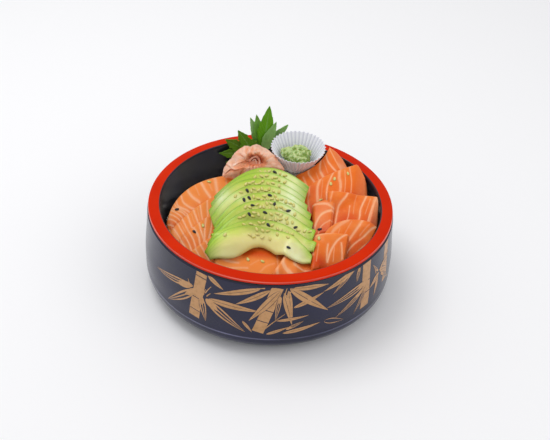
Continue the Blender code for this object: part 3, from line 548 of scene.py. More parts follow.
# Avocado: the same first nine values, then how far the back edge's middle lies to the right
avocadoSlices = [
    ("avocado_1", (-45, 1, 73), (30, 16, 76), (27, 9, 67), (-40, -7, 63),
     24.5, 14, 6.0, 2.5, 0.25),
    ("avocado_2", (-47, -7, 72), (28, 10, 75.5), (26, 2, 66.5), (-42, -15, 62.5),
     24.5, 14, 7.0, 3.0, 0.2),
    ("avocado_3", (-48, -14, 70), (27, 3, 74.5), (26, -5, 66), (-44, -21, 61.5),
     24.0, 13.5, 7.5, 3.5, 0.15),
    ("avocado_4", (-46, -20, 68.5), (29, -5, 73), (28, -13, 64.5), (-42, -27, 61),
     23.5, 13, 8.0, 4.0, 0.1),
    ("avocado_5", (-43, -27, 67.0), (32, -13, 71), (30, -21, 63.5), (-39, -34, 60),
     23.0, 12.5, 8.5, 4.5, 0.05),
    ("avocado_6", (-43, -34, 66), (33.5, -22, 69.5), (31, -30, 62), (-39, -41, 59.5),
     22.5, 12, 8.5, 4.5, 0.0),
    ("avocado_7", (-44, -42, 65), (35.5, -32, 67.5), (33, -40, 60.5), (-40, -48, 59),
     22.5, 12, 8.5, 4.5, 0.0),
    ("avocado_8", (-46, -50, 63.5), (36, -46, 64.5), (34, -52, 59.5), (-42, -56, 59),
     22.5, 11.5, 8.5, 4.5, 0.0),
    ("avocado_9", (-47.5, -56.5, 61.5), (33, -56, 61), (32, -61.5, 58.5), (-43, -61, 58),
     22, 14.5, 9.0, 5.0, 0.0),
]

# An avocado slice's thickness, then points along and across of the coarse slices and of the fine ones
avocadoThick, fishGrid, avocadoGrid = 3.3, (8, 5), (13, 4)
fishMesh, avocadoMesh = (116, 52), (128, 36)

# Edge of a slice: how far in it is rounded, and the shares of the thickness that its top falls there
# and its underside rises
edgeReach, edgeFall, edgeRise = 1.7, 0.34, 0.12

# Where the avocado is painted with a highlight (light), lime or olive: x, y, reach across and along, and how
# much
avocadoTones = {
    "light": [
        (16, 0, 10, 24, 1.0), (-40, -2, 7, 12, 0.95), (20, -58, 9, 9, 0.8), (-26, -4, 8, 5, 0.4),
        (-25, -61, 15, 5, 0.35), (6, 26, 10, 5, 0.3),
    ],
    "lime": [
        (-38, -32, 13, 15, 0.95), (-26, 24, 15, 10, 0.75), (34, -36, 5, 24, 0.9),
        (-46, -50, 8, 10, 0.85), (-2, 36, 18, 4, 0.4),
    ],
    "olive": [
        (-12, -24, 17, 7, 1.0), (-8, -37, 22, 4, 0.7), (30, 22, 6, 6, 0.8), (-20, 4, 6, 4, 0.35),
        (4, -12, 5, 5, 0.4),
    ],
}

# Fat lines of each fish slice: the places they pass, across and from back to front as shares of the
# slice, then their width in millimetres and how clear they are
fatLines = {
    "salmon_left_1": [
        ([(0.82, 0), (0.82, 0.12), (0.81, 0.5)], 2.2, 0.8),
        ([(0.66, 0), (0.68, 0.28), (0.72, 0.6)], 1.7, 0.95),
        ([(0.48, 0), (0.48, 0.12), (0.51, 0.33), (0.58, 0.6)], 1.7, 0.95),
        ([(0.74, 0.05), (0.76, 0.4)], 0.8, 0.4),
        ([(0.37, 0), (0.37, 0.28), (0.44, 0.57), (0.53, 0.8)], 1.3, 0.95),
        ([(0.58, 0), (0.6, 0.4)], 0.8, 0.4),
        ([(0.28, 0.05), (0.28, 0.24), (0.39, 0.59), (0.44, 0.8)], 1.2, 0.9),
        ([(0.93, 0.1), (0.92, 0.5)], 1.0, 0.5),
        ([(0.23, 0), (0.25, 0.2), (0.35, 0.57), (0.4, 0.8)], 1.0, 0.8),
        ([(0.13, 0), (0.27, 0.55), (0.3, 0.8)], 0.9, 0.85),
        ([(0.19, 0), (0.19, 0.12), (0.32, 0.55), (0.36, 0.8)], 1.0, 0.9),
        ([(0.08, 0), (0.22, 0.53), (0.25, 0.8)], 0.9, 0.85),
        ([(0.03, 0), (0.17, 0.55), (0.2, 0.8)], 0.9, 0.8), ([(0, 0.1), (0.12, 0.6)], 0.8, 0.8),
        ([(0, 0.3), (0.07, 0.7)], 0.8, 0.8),
    ],
    "salmon_left_2": [
        ([(0.68, 0), (0.63, 0.37), (0.6, 0.8)], 1.3, 0.85),
        ([(0.56, 0), (0.53, 0.39), (0.52, 0.8)], 1.4, 0.85),
        ([(0.44, 0), (0.45, 0.53), (0.46, 0.9)], 1.5, 0.95),
        ([(0.33, 0), (0.34, 0.43), (0.36, 0.9)], 1.4, 0.95),
        ([(0.24, 0), (0.27, 0.49), (0.3, 0.9)], 1.3, 0.9),
        ([(0.15, 0), (0.19, 0.5), (0.22, 0.9)], 1.2, 0.85),
        ([(0.07, 0), (0.12, 0.5), (0.15, 0.9)], 1.1, 0.85), ([(0, 0.1), (0.05, 0.6)], 1.0, 0.8),
        ([(0.8, 0), (0.75, 0.5)], 1.2, 0.7), ([(0.5, 0.05), (0.49, 0.5)], 0.7, 0.4),
        ([(0.39, 0.1), (0.4, 0.5)], 0.6, 0.4), ([(0.2, 0.1), (0.23, 0.5)], 0.6, 0.4),
    ],
    "salmon_left_3": [
        ([(0.78, 0), (0.68, 0.39), (0.57, 0.67), (0.5, 0.9)], 1.3, 0.9),
        ([(0.66, 0), (0.57, 0.27), (0.49, 0.61), (0.44, 0.9)], 1.4, 0.95),
        ([(0.5, 0), (0.48, 0.27), (0.47, 0.63), (0.4, 0.9)], 1.4, 0.95),
        ([(0.37, 0), (0.4, 0.35), (0.39, 0.55), (0.34, 0.9)], 1.5, 0.95),
        ([(0.26, 0), (0.29, 0.4), (0.27, 0.8)], 1.3, 0.9),
        ([(0.16, 0), (0.19, 0.4), (0.18, 0.8)], 1.2, 0.85),
        ([(0.07, 0), (0.1, 0.4), (0.1, 0.8)], 1.1, 0.85), ([(0.9, 0), (0.82, 0.5)], 1.1, 0.6),
        ([(0.6, 0.1), (0.52, 0.5)], 0.7, 0.4),
    ],
    "salmon_left_4": [
        ([(0.1, 0), (0.05, 0.9)], 1.2, 0.8), ([(0.28, 0), (0.22, 0.9)], 1.2, 0.85),
        ([(0.46, 0), (0.4, 0.9)], 1.2, 0.85), ([(0.64, 0), (0.57, 0.9)], 1.2, 0.8),
        ([(0.82, 0), (0.75, 0.9)], 1.2, 0.7),
    ],
    "salmon_front_1": [
        ([(0.02, 0.35), (0.12, 0.5), (0.3, 0.56)], 1.6, 0.75),
        ([(0, 0.55), (0.15, 0.68), (0.4, 0.7)], 1.2, 0.65), ([(0.05, 0.75), (0.3, 0.85)], 1.0, 0.5),
        ([(0.56, 0.78), (0.66, 0.62), (0.78, 0.52)], 1.0, 0.35),
        ([(0.45, 0.62), (0.58, 0.48)], 0.8, 0.3), ([(0.85, 0.2), (0.8, 0.7)], 0.9, 0.45),
    ],
    "salmon_front_2": [
        ([(0.11, 0.2), (0.11, 0.45), (0.24, 0.66), (0.38, 0.83), (0.5, 1)], 1.8, 0.95),
        ([(0, 0.5), (0.13, 0.85), (0.2, 1)], 1.3, 0.7),
        ([(0.4, 0.2), (0.46, 0.55), (0.58, 0.66), (0.79, 0.7), (1, 0.66)], 1.8, 0.95),
    ],
    "salmon_right_1": [
        ([(0.81, 0), (0.79, 0.3), (0.88, 0.72), (0.95, 1)], 1.2, 0.95),
        ([(0.97, 0), (0.98, 0.4), (1, 0.8)], 1.0, 0.6),
        ([(0.63, 0), (0.53, 0.28), (0.55, 0.6), (0.62, 1)], 1.8, 0.85),
        ([(0.32, 0), (0.25, 0.16), (0.32, 0.55), (0.4, 1)], 1.3, 0.85),
        ([(0.42, 0.3), (0.44, 0.8)], 0.8, 0.4), ([(0.12, 0.2), (0.16, 0.7)], 1.2, 0.6),
        ([(0.68, 0.1), (0.68, 0.6)], 0.7, 0.35),
    ],
    "salmon_right_2": [
        ([(0.35, 0), (0.28, 0.24), (0.29, 0.64), (0.33, 1)], 2.4, 0.7),
        ([(0.59, 0), (0.48, 0.34), (0.47, 0.64), (0.5, 1)], 1.4, 1.0),
        ([(0.7, 0), (0.7, 0.22), (0.74, 0.49), (0.72, 0.8)], 2.3, 0.7),
        ([(0.88, 0), (0.9, 0.16), (0.95, 0.49), (0.96, 0.84)], 0.9, 0.6),
        ([(0.12, 0.1), (0.1, 0.5), (0.14, 0.9)], 1.2, 0.5),
        ([(0.8, 0.1), (0.83, 0.5), (0.82, 0.9)], 0.8, 0.45), ([(0.38, 0.1), (0.36, 0.6)], 0.6, 0.4),
    ],
    "salmon_right_3": [
        ([(0.975, 0.05), (0.965, 0.5), (0.96, 0.95)], 2.4, 0.6),
        ([(0.42, 0), (0.37, 0.14), (0.25, 0.32), (0.22, 0.51), (0.2, 0.8)], 1.4, 0.9),
        ([(0.48, 0.3), (0.48, 0.52), (0.46, 0.66)], 0.8, 0.65),
        ([(0.8, 0), (0.78, 0.08), (0.72, 0.38), (0.73, 0.6), (0.7, 1)], 1.3, 0.95),
        ([(1, 0), (0.95, 0.4), (0.94, 0.66), (0.92, 1)], 1.3, 0.85),
        ([(0.6, 0), (0.57, 0.25), (0.58, 0.5)], 0.6, 0.3), ([(0.88, 0.1), (0.84, 0.5)], 0.7, 0.4),
        ([(0.1, 0.05), (0.05, 0.4)], 1.0, 0.5),
    ],
    "salmon_right_4": [
        ([(0, 0.04), (0.33, 0.1), (0.71, 0.14), (1, 0.2)], 1.8, 0.75),
        ([(0.1, 0.8), (0.17, 0.68), (0.43, 0.45), (0.98, 0.3)], 2.0, 0.9),
        ([(0.3, 1), (0.5, 0.78), (1, 0.62)], 1.2, 0.6),
    ],
    "salmon_right_5": [
        ([(0.2, 0.35), (0.27, 0.19), (0.55, 0.02)], 2.6, 0.6),
        ([(0.79, 0), (0.74, 0.23), (0.62, 0.55), (0.5, 0.9)], 1.8, 0.75),
        ([(1, 0), (0.88, 0.37), (0.71, 0.67), (0.6, 1)], 1.0, 0.95),
        ([(0.42, 0.2), (0.33, 0.6), (0.3, 1)], 0.8, 0.4), ([(1, 0.45), (0.9, 0.7), (0.8, 1)], 0.8, 0.6),
        ([(0.62, 0.08), (0.5, 0.45)], 0.7, 0.35), ([(0.9, 0.1), (0.82, 0.35)], 0.7, 0.4),
    ],
    "salmon_right_6": [
        ([(0, 0.08), (0.25, 0.03), (0.53, 0.01)], 2.0, 0.6),
        ([(0.99, 0), (0.73, 0.22), (0.57, 0.51), (0.5, 0.8)], 1.4, 1.0),
        ([(0.47, 0.32), (0.46, 0.5), (0.48, 0.75)], 1.3, 0.75),
        ([(0.85, 0.28), (0.9, 0.5), (0.94, 0.75)], 1.2, 0.7), ([(0.2, 0.3), (0.16, 0.8)], 0.8, 0.4),
        ([(0, 0.2), (0.05, 0.6)], 1.2, 0.6), ([(0.66, 0.4), (0.68, 0.8)], 0.7, 0.45),
    ],
}

# How far each slice's flesh goes from red orange to pale orange
fishTones = {
    "salmon_left_1": 0.75, "salmon_left_2": 0.8, "salmon_left_3": 0.7, "salmon_left_4": 0.75,
    "salmon_front_1": 0.7, "salmon_front_2": 0.6, "salmon_right_1": 0.25, "salmon_right_2": 0.2,
    "salmon_right_3": 0.2, "salmon_right_4": 0.35, "salmon_right_5": 0.3, "salmon_right_6": 0.35,
}

# Where the fish is painted darker red, partly deeper flesh and partly painted shade under the avocado and the
# slices above, as x, y, reach across and along, and how much; below zero paints it paler
fishSpots = [
    (-8, -50, 26, 5.5, 0.9), (2, -63, 24, 6, -0.7), (30, 0, 7, 9, 0.8), (60, -10, 13, 8, 0.65),
    (80, -14, 5, 10, 0.6), (-78, -14, 8, 7, 0.5), (38, -60, 8, 7, 0.75), (24, -62, 8, 5, 0.5),
    (64, -44, 12, 6, 0.45), (66, 14, 6, 9, 0.45), (32, 22, 8, 7, 0.5), (40, -24, 6, 6, 0.4),
    (-62, -36, 9, 7, 0.35), (70, -34, 8, 6, 0.7),
]


def sliceTop(spec, us, vs, power):
    # Places of the top face for shares along (us) and from back to front (vs)
    _, bl, br, fr, fl, bowBack, bowFront, riseBack, riseFront = spec[:9]
    skew = spec[9] if power > 1 else 0.0
    corners = [np.array(c, float) for c in (bl, br, fr, fl)]
    u, v = np.meshgrid(us, vs, indexing="ij")
    arch = 4 * u * (1 - u) * (1 + skew * (2 * u - 1))
    along = corners[1][:2] - corners[0][:2]
    out = np.array([-along[1], along[0]]) / np.hypot(*along)
    back = corners[0] + u[..., None] * (corners[1] - corners[0])
    front = corners[3] + u[..., None] * (corners[2] - corners[3])
    back[..., :2] += out * (bowBack * arch)[..., None]
    front[..., :2] += out * (bowFront * np.sin(np.pi * u) ** power)[..., None]
    top = back * (1 - v[..., None]) + front * v[..., None]
    top[..., 2] += (riseBack * (1 - v) + riseFront * v) * 4 * u * (1 - u)
    return top, u, v


def fineShares(length, count, openEnd=False):
    # Shares along a side, close together near its ends where the edge is rounded
    near, start = np.array([0, 0.25, 0.6, 1.1, 1.7]) / length, 2.3 / length
    if openEnd:
        return np.concatenate([near, np.linspace(start, 1, count - 5)])
    return np.concatenate([near, np.linspace(start, 1 - start, count - 10), 1 - near[::-1]])


def sliceSolid(spec, counts, thick, power, left, ends, fine):
    # Top, underside and soft margins of one slice, kept inside the wall. The coarse one is as in the
    # frame, and the fine one has a rounded edge instead of a bevel
    nu, nv = counts
    length = math.dist(spec[1][:2], spec[2][:2])
    width = max(math.dist(spec[1][:2], spec[4][:2]), 12.0)
    if fine:
        vs, us = fineShares(width, nv), fineShares(length, nu, bool(ends))
        tail = np.linspace(0, 1, 10)[1:] if ends else np.zeros(0)
        top, u, v = sliceTop(spec, np.concatenate([us, np.ones(len(tail))]), vs, power)
        share = np.concatenate([np.zeros(len(us)), tail])[:, None] * np.ones(len(vs))
    else:
        side, inset = min(2.0 / width, 0.16), min(3.0 / length, 0.1)
        vs = np.concatenate([[0.0], np.linspace(side, 1 - side, nv - 2), [1.0]])
        us = np.concatenate([[0.0], np.linspace(inset, 1 - inset, nu - 2), [1.0]])
        if ends:
            us = np.append(np.linspace(0, 1, nu - 1), 1.0)
            us[1] = inset
        top, u, v = sliceTop(spec, us, vs, power)
        share = np.zeros(u.shape)
        share[-1] = 1.0 if ends else 0.0
    start = top.copy()
    if ends:
        back, front = (np.array(end, float) for end in ends)
        top += share[..., None] * (back + (front - back) * v[..., None])
    top[..., 2] -= left * np.clip(1 - u / 0.14, 0, 1) ** 2
    reach = np.hypot(top[..., 0], top[..., 1])
    within = innerWall - 0.8 - np.clip(60 - top[..., 2], 0, 40) * 0.025
    most = np.where(top[..., 2] - thick > tubHeight + 1, 92.0, within)
    top[..., :2] *= np.minimum(1, most / np.maximum(reach, 1e-6))[..., None]
    depth = thick * (0.5 + 0.5 * np.sin(np.pi * u)) if power > 1 else np.full(u.shape, thick)
    bottom = top.copy()
    bottom[..., 2] -= depth
    if ends:
        bottom[..., :2] += 0.35 * share[..., None] * (start - top)[..., :2]
        bottom[..., 2] += 0.65 * share * thick
    if fine:
        toEdge = np.minimum(np.minimum(u * length, v * width), (1 - v) * width)
        toEdge = np.minimum(toEdge, (1 - share) * 9 if ends else (1 - u) * length)
        rounding = 1 - np.sqrt(np.clip(1 - np.clip(1 - toEdge / edgeReach, 0, 1) ** 2, 0, 1))
        top[..., 2] -= edgeFall * depth * rounding
        bottom[..., 2] += edgeRise * depth * rounding
        return top, bottom, u, v, share, length, width
    margin = np.zeros(u.shape, bool)
    margin[0] = margin[-1] = margin[:, 0] = margin[:, -1] = True
    top[..., 2] -= np.where(margin, edgeFall * depth, 0)
    bottom[..., 2] += np.where(margin, edgeRise * depth, 0)
    return np.concatenate([top.reshape(-1, 3), bottom.reshape(-1, 3)])


def layAll():
    # Lays each coarse slice on those before it, and keeps the lifts for the fine ones
    height = np.full(gridX.shape, floorZ)
    owner = np.full(gridX.shape, -1)
    lifts = {}
    rows = [(spec[:9], fishGrid, spec[9], 1, spec[10], spec[11:]) for spec in fishSlices]
    last = avocadoSlices[-1]  # its hollow is narrower than the others'
    rows += [(spec, avocadoGrid, avocadoThick, 5 if spec is last else 3, 0, ()) for spec in avocadoSlices]
    for number, (spec, counts, thick, power, left, ends) in enumerate(rows):
        points = sliceSolid(spec, counts, thick, power, left, ends, False)
        faces = slabTriangles(*counts)
        ground = spread(height, 1, np.maximum)
        steps = []
        for _ in range(3):
            low, _high = lowAndHigh(points, faces)
            short = np.where(np.isfinite(low), np.maximum(ground + gap - low, 0), 0)
            lift = blur(spread(short, smoothCells, np.maximum), smoothCells)
            points[:, 2] += sample(lift, points[:, 0], points[:, 1])
            steps.append(lift)
        low, _high = lowAndHigh(points, faces)
        shift = max(0.0, float(np.where(np.isfinite(low), ground + gap - low, -1).max()))
        points[:, 2] += shift
        lifts[spec[0]] = (steps, shift)
        low, high = lowAndHigh(points, faces)
        owner = np.where(np.isfinite(high), number, owner)
        height = np.maximum(height, high)
    return lifts, height, owner, rows


def raised(points, lift):
    steps, shift = lift
    for field in steps:
        points[..., 2] += sample(field, points[..., 0], points[..., 1])
    points[..., 2] += shift
    return points


def fatField(name, u, v, length, width):
    # How fat each point is, from the lines that pass it
    fat = np.zeros(u.shape)
    for places, thick, clear in fatLines[name]:
        line = np.array(smoothLine(np.array(places) * (length, width), 6))
        near = np.full(u.shape, np.inf)
        for a, b in zip(line[:-1], line[1:]):
            step = b - a
            across, along = u * length - a[0], v * width - a[1]
            t = np.clip((across * step[0] + along * step[1]) / max(step @ step, 1e-9), 0, 1)
            near = np.minimum(near, np.hypot(across - t * step[0], along - t * step[1]))
        core = np.exp(-((near / (0.55 * thick)) ** 4)) + 0.22 * np.exp(-((near / (1.2 * thick)) ** 2))
        fat = np.maximum(fat, clear * core)
    return np.clip(fat, 0, 1)


def spotsOn(top, spots):
    # How far each place lies in the listed spots
    x, y = top[..., 0], top[..., 1]
    return sum(k * np.exp(-(((x - cx) / a) ** 2) - ((y - cy) / b) ** 2) for cx, cy, a, b, k in spots)


def makeSlice(name, slot, top, bottom, fields, material):
    points = np.concatenate([top.reshape(-1, 3), bottom.reshape(-1, 3)])
    faces = outward(points, slabQuads(*top.shape[:2]))
    finishPiece(makeMesh(name + "_slice", points, faces, [material], fields, 48), slot, name)


def makeFish(lifts, rows, material):
    for spec, _counts, thick, power, left, ends in rows[: len(fishSlices)]:
        name = spec[0]
        top, bottom, u, v, share, length, width = sliceSolid(spec, fishMesh, thick, power, left, ends, True)
        fat = fatField(name, u, v, length, width)
        bulge = 0.28 * (1 - fat) * np.clip(np.minimum(v, 1 - v) * 12, 0, 1) * np.clip(u * 14, 0, 1)
        top, bottom = raised(top, lifts[name]), raised(bottom, lifts[name])
        top[..., 2] += bulge - 0.2
        # Painted highlight: paler along the side edges and toward the back
        edge = np.clip(1 - np.minimum(v, 1 - v) * width / 1.6, 0, 1)
        lit = np.clip(edge * 0.5 + 0.25 * np.clip(1 - v * 3, 0, 1), 0, 1)
        # Darker red toward each slice's front and where its end runs down, partly deeper flesh and partly
        # painted shade
        deep = np.clip(v * 1.3 - 0.6, 0, 1) * 0.6 + 0.4 * share
        deep = np.clip(deep + spotsOn(top, fishSpots), 0, 1)
        fat = np.clip(fat * (1 - 0.3 * share) + 0.25 * share, 0, 1)
        fields = {"fat": fat, "lit": lit, "deep": deep, "pale": np.full(u.shape, fishTones[name])}
        fields = {key: np.tile(values.ravel(), 2) for key, values in fields.items()}
        makeSlice(name, "salmon", top, bottom, fields, material)


def makeAvocado(lifts, rows, material):
    for spec, _counts, thick, power, left, ends in rows[len(fishSlices) :]:
        name = spec[0]
        top, bottom, u, v, _share, _length, width = sliceSolid(
            spec, avocadoMesh, thick, power, left, ends, True
        )
        top, bottom = raised(top, lifts[name]), raised(bottom, lifts[name])
        tip = np.clip(1 - np.minimum(u, 1 - u) * 8, 0, 1)
        depth = np.clip(v * 0.95 - 0.15 * tip + 0.02, 0, 1)
        shade = tip * 0.4 + 0.75 * np.exp(-((v * width / 0.9) ** 2)) + 0.2 * np.clip(1 - v * 5, 0, 1)
        shade = np.clip(shade, 0, 1)
        fields = {
            "depth": np.concatenate([depth.ravel(), depth.ravel() * 0.6]),
            "shade": np.concatenate([shade.ravel(), np.clip(shade + 0.35, 0, 1).ravel()]),
        }
        for key, spots in avocadoTones.items():
            fields[key] = np.tile(np.clip(spotsOn(top, spots), 0, 1).ravel(), 2)
        makeSlice(name, "avocado", top, bottom, fields, material)


# Sesame
seeds = {
    "size": (3.7, 2.3, 1.7), "unevenness": 0.16,
    "pale": 42, "morePale": 62, "apart": 3.6, "moreApart": 2.8,  # the second lot lies closer
    "centre": (-2, 4), "spread": (18, 21), "draws": 900, "steepest": 5.5,
    # x, y and turn of each black seed
    "black": [
        (2, 27, -30), (-30, 3, 60), (-19, 5, -50), (-17, -1, -40), (-1, 0, -20), (8, 10, 50),
        (-21, -8, -70), (-14, -10, 8), (3, -9, 80), (7, -7, 12), (14, -17, 15), (-4, -18, -20),
        (-16, -20, -50), (-15, -25, 0), (-1, -30, -45), (20, -30, 20), (25, -47, -35), (29, -51, -50),
        (15, -54, -20), (-75, 3, 25), (-58, -28, -40), (47, 4, 0), (39, -26, 0),
    ],
    "paleOnFish": [
        (-40, 22), (-52, -21), (-52, 38), (51, 32), (48, 27), (62, 38), (40, 11), (38, -38),
        (-15, -57), (-4, -58),
    ],
    # Where a seed goes when it can't lie at its own place
    "asides": [(0, 0), (0, -1.5), (0, 1.5), (1.5, 0), (-1.5, 0), (0, -3), (0, 3), (2, -2), (-2, -2)],
}


def seedPlaces(owner, height):
    # x, y, turn and darkness of each seed that lies on one slice and clear of the others
    rng = random.Random(11)
    wanted = list(seeds["black"])
    wanted += [(x, y, rng.uniform(0, 180)) for x, y in seeds["paleOnFish"]]
    listed = len(wanted)
    for _ in range(seeds["draws"]):
        x = rng.gauss(seeds["centre"][0], seeds["spread"][0])
        y = rng.gauss(seeds["centre"][1], seeds["spread"][1])
        wanted.append((x, y, rng.uniform(0, 180)))
    placed = []
    for number, (x, y, turn) in enumerate(wanted):
        if len(placed) >= listed + seeds["pale"] + seeds["morePale"]:
            break
        apart = seeds["apart"] if len(placed) < listed + seeds["pale"] else seeds["moreApart"]
        for dx, dy in seeds["asides"]:
            i, j = int(round(float(cellOf(x + dx)))), int(round(float(cellOf(y + dy))))
            patch = owner[i - 5 : i + 6, j - 5 : j + 6]
            if patch.size == 0 or patch[0, 0] < 0 or (patch != patch[5, 5]).any():
                continue
            spot = height[i - 5 : i + 6, j - 5 : j + 6]
            if spot.max() - spot.min() > seeds["steepest"]:
                continue
            if number >= listed and patch[5, 5] < len(fishSlices):
                continue
            if any(math.dist((x + dx, y + dy), seed[:2]) < apart for seed in placed):
                continue
            placed.append((x + dx, y + dy, turn, number < len(seeds["black"])))
            break
    return placed


def scatterTree():
    # One grain on each point, turned by the point's attribute, with an uneven size
    tree = bpy.data.node_groups.new("scatter_grains", "GeometryNodeTree")
    face = tree.interface
    for name, kind in (
        ("Geometry", "NodeSocketGeometry"), ("Grain", "NodeSocketObject"), ("Size", "NodeSocketFloat"),
        ("Unevenness", "NodeSocketFloat"), ("Seed", "NodeSocketInt"), ("Material", "NodeSocketMaterial"),
    ):
        face.new_socket(name, in_out="INPUT", socket_type=kind)
    face.new_socket("Geometry", in_out="OUTPUT", socket_type="NodeSocketGeometry")
    source = addNode(tree, "NodeGroupInput")
    grain = addNode(tree, "GeometryNodeObjectInfo", {"Object": source.outputs["Grain"]})
    turning = addNode(tree, "GeometryNodeInputNamedAttribute", {"Name": "turning"}, data_type="FLOAT_VECTOR")
    uneven = addNode(tree, "FunctionNodeRandomValue", {"Seed": source.outputs["Seed"]}, data_type="FLOAT")
    middled = maths(tree, "SUBTRACT", uneven.outputs[1], 0.5)
    spreadOut = times(tree, middled, source.outputs["Unevenness"])
    size = times(tree, source.outputs["Size"], plus(tree, spreadOut, 1.0))
    turned = addNode(tree, "FunctionNodeEulerToRotation", {"Euler": turning.outputs[0]})
    instances = addNode(tree, "GeometryNodeInstanceOnPoints", {
        "Points": source.outputs["Geometry"], "Instance": grain.outputs["Geometry"],
        "Rotation": turned.outputs[0], "Scale": size,
    })
    real = addNode(tree, "GeometryNodeRealizeInstances", {"Geometry": instances.outputs[0]})
    dressed = addNode(tree, "GeometryNodeSetMaterial", {
        "Geometry": real.outputs[0], "Material": source.outputs["Material"],
    })
    addNode(tree, "NodeGroupOutput", {"Geometry": dressed.outputs[0]})
    return tree


def scatter(name, tree, places, turns, shape, material, unevenness, seed):
    # Real copies of one grain at the places, as one mesh
    grain = makeMesh(name + "_grain", shape[0], shape[1], [])
    mesh = bpy.data.meshes.new(name)
    mesh.from_pydata((np.array(places) * mm).tolist(), [], [])
    layer = mesh.attributes.new("turning", "FLOAT_VECTOR", "POINT")
    layer.data.foreach_set("vector", np.array(turns, dtype=np.float32).ravel())
    made = addObject(name, mesh)
    modifier = made.modifiers.new("grains", "NODES")
    modifier.node_group = tree
    sockets = {item.name: item.identifier for item in tree.interface.items_tree if item.in_out == "INPUT"}
    values = {"Grain": grain, "Size": 1.0, "Unevenness": unevenness, "Seed": seed, "Material": material}
    for key, value in values.items():
        modifier[sockets[key]] = value
    settle(made, modifier)
    bpy.data.objects.remove(grain)
    smoothShade(made.data)
    return made


def makeSeeds(tree, placed, height):
    # Each seed lies on the real surface of the slice below it
    above = 120.0
    graph = bpy.context.evaluated_depsgraph_get()
    flesh = [BVHTree.FromObject(item, graph) for item in bpy.data.objects if item.name.endswith("_slice")]

    def topAt(x, y):
        hits = [slab.ray_cast(Vector((x, y, above)) * mm, Vector((0, 0, -1)))[0] for slab in flesh]
        return max([hit.z / mm for hit in hits if hit], default=float(sample(height, x, y)))

    shape = ball(seeds["size"], 10, 7, 0.25)
    for kind, dark, colour in (("sesame_black", True, "seedDark"), ("sesame_pale", False, "seedPale")):
        places, turns = [], []
        for x, y, turn, isDark in placed:
            if isDark != dark:
                continue
            ahead = math.radians(turn)
            z = topAt(x, y)
            slope = min(max(topAt(x + math.cos(ahead), y + math.sin(ahead)) - z, -0.9), 0.9)
            places.append((x, y, z + 0.3))
            turns.append((0.0, -math.atan(slope), ahead))
        material = seedMaterial("sesame_seed_" + ("black" if dark else "pale"), colour)
        finishPiece(scatter(kind, tree, places, turns, shape, material, seeds["unevenness"], 3), "avocado")


# Tub
tub = {
    "steps": 240, "wallInset": 0.25,
    # Radius and height: foot ring, lower wall, upper wall, and the ridge low on the wall, whose middle ring
    # gets a painted highlight
    "foot": [(0.0, 1.6), (60.0, 1.6), (79.0, 1.6), (80.5, 0.0), (83.0, 0.0)],
    "low": [(86.0, 0.0), (89.8, 1.7), (93.6, 5.0), (97.3, 9.2), (99.5, 13.4), (100.0, 19.0)],
    "side": [(100.0, 34.0), (98.6, 50.5), (97.3, 67.2)],
    "ridge": [(99.82, 17.2), (99.85, 18.4), (99.85, 19.6)], "ridgeSpan": (16.5, 20.5), "highlightAt": 18.4,
    # Radius, height and finish: up over the rim, then down the inside to the floor; finish 3 on the rim's
    # outer edge is a painted highlight
    "rim": [
        (96.4, 67.7, 0), (95.9, 68.2, 2), (96.0, 68.7, 2), (96.35, 69.1, 2), (96.5, 69.6, 2),
        (96.5, 70.75, 1), (96.42, 71.15, 3), (96.15, 71.6, 3), (95.75, 71.9, 1), (95.3, 72.0, 1),
        (91.8, 72.0, 1), (88.6, 72.0, 1), (88.0, 71.93, 1),
    ],
    "inside": [
        (87.5, 71.7, 2), (87.2, 71.2, 2), (87.05, 70.0, 2), (86.7, 65.0, 2), (86.4, 60.0, 2), (86.1, 45.0, 2),
        (85.8, 30.0, 2), (85.4, 16.0, 2), (83.0, 9.4, 2), (76.0, 6.0, 2), (40.0, 6.0, 2), (0.0, 6.0, 2),
    ],
}


def tubProfile():
    # Radius and height of the outer wall from the foot to the rim
    inset = tub["wallInset"]
    outer = [(r - (inset if z > 4 else inset * z / 4), z) for r, z in smoothLine(tub["low"], 5)]
    outer += [(r - inset, z) for r, z in smoothLine([tub["low"][-1]] + tub["side"], 6)[1:]]
    low, high = tub["ridgeSpan"]
    outer = [row for row in outer if not low < row[1] < high] + tub["ridge"]
    return sorted(outer, key=lambda row: row[1])


def makeTub():
    # Rings of the profile, turned round the middle; finish 4 is a painted highlight on the ridge low on the
    # wall
    rows = [(r, z, 0) for r, z in tub["foot"]]
    rows += [(r, z, 4 if z == tub["highlightAt"] else 0) for r, z in tubProfile()]
    rows += tub["rim"] + tub["inside"]
    steps = tub["steps"]
    turn = 2 * np.pi * np.arange(steps) / steps
    points, starts, faces, slots = [], [], [], []
    for radius, z, _slot in rows:
        starts.append(len(points))
        around = [(radius * math.cos(t), radius * math.sin(t), z) for t in turn]
        points += around if radius else [(0.0, 0.0, z)]
    for k in range(len(rows) - 1):
        a, b = starts[k], starts[k + 1]
        for s in range(steps):
            n = (s + 1) % steps
            if rows[k][0] == 0:
                faces.append((a, b + n, b + s))
            elif rows[k + 1][0] == 0:
                faces.append((a + s, a + n, b))
            else:
                faces.append((a + s, a + n, b + n, b + s))
            slots.append(rows[k + 1][2])
    finishes = [
        lacquerMaterial("black_lacquer_outside", "wall", "wallDeep", 0.25, 0.15, 0.35),
        lacquerMaterial("vermilion_lacquer", "rim", "rimLight", 0.35, 0.04, 0.03),
        lacquerMaterial("black_lacquer_inside", "inside", "wallDeep", 0.3, 0.2, 0.4),
        # Painted highlight: a pinkish white line along the rim's outer edge
        lacquerMaterial("vermilion_lacquer_painted_highlight", "rimHighlight", "rimLight", 0.22, 0.4, 0.6),
        # Painted highlight: a pale line round the ridge low on the wall
        lacquerMaterial("black_lacquer_painted_highlight", "wallHighlight", "wall", 0.2, 0.3, 0.5),
    ]
    finishPiece(makeMesh("lacquer_tub", points, faces, finishes, None, 38, slots), "lacquer", "bowl")


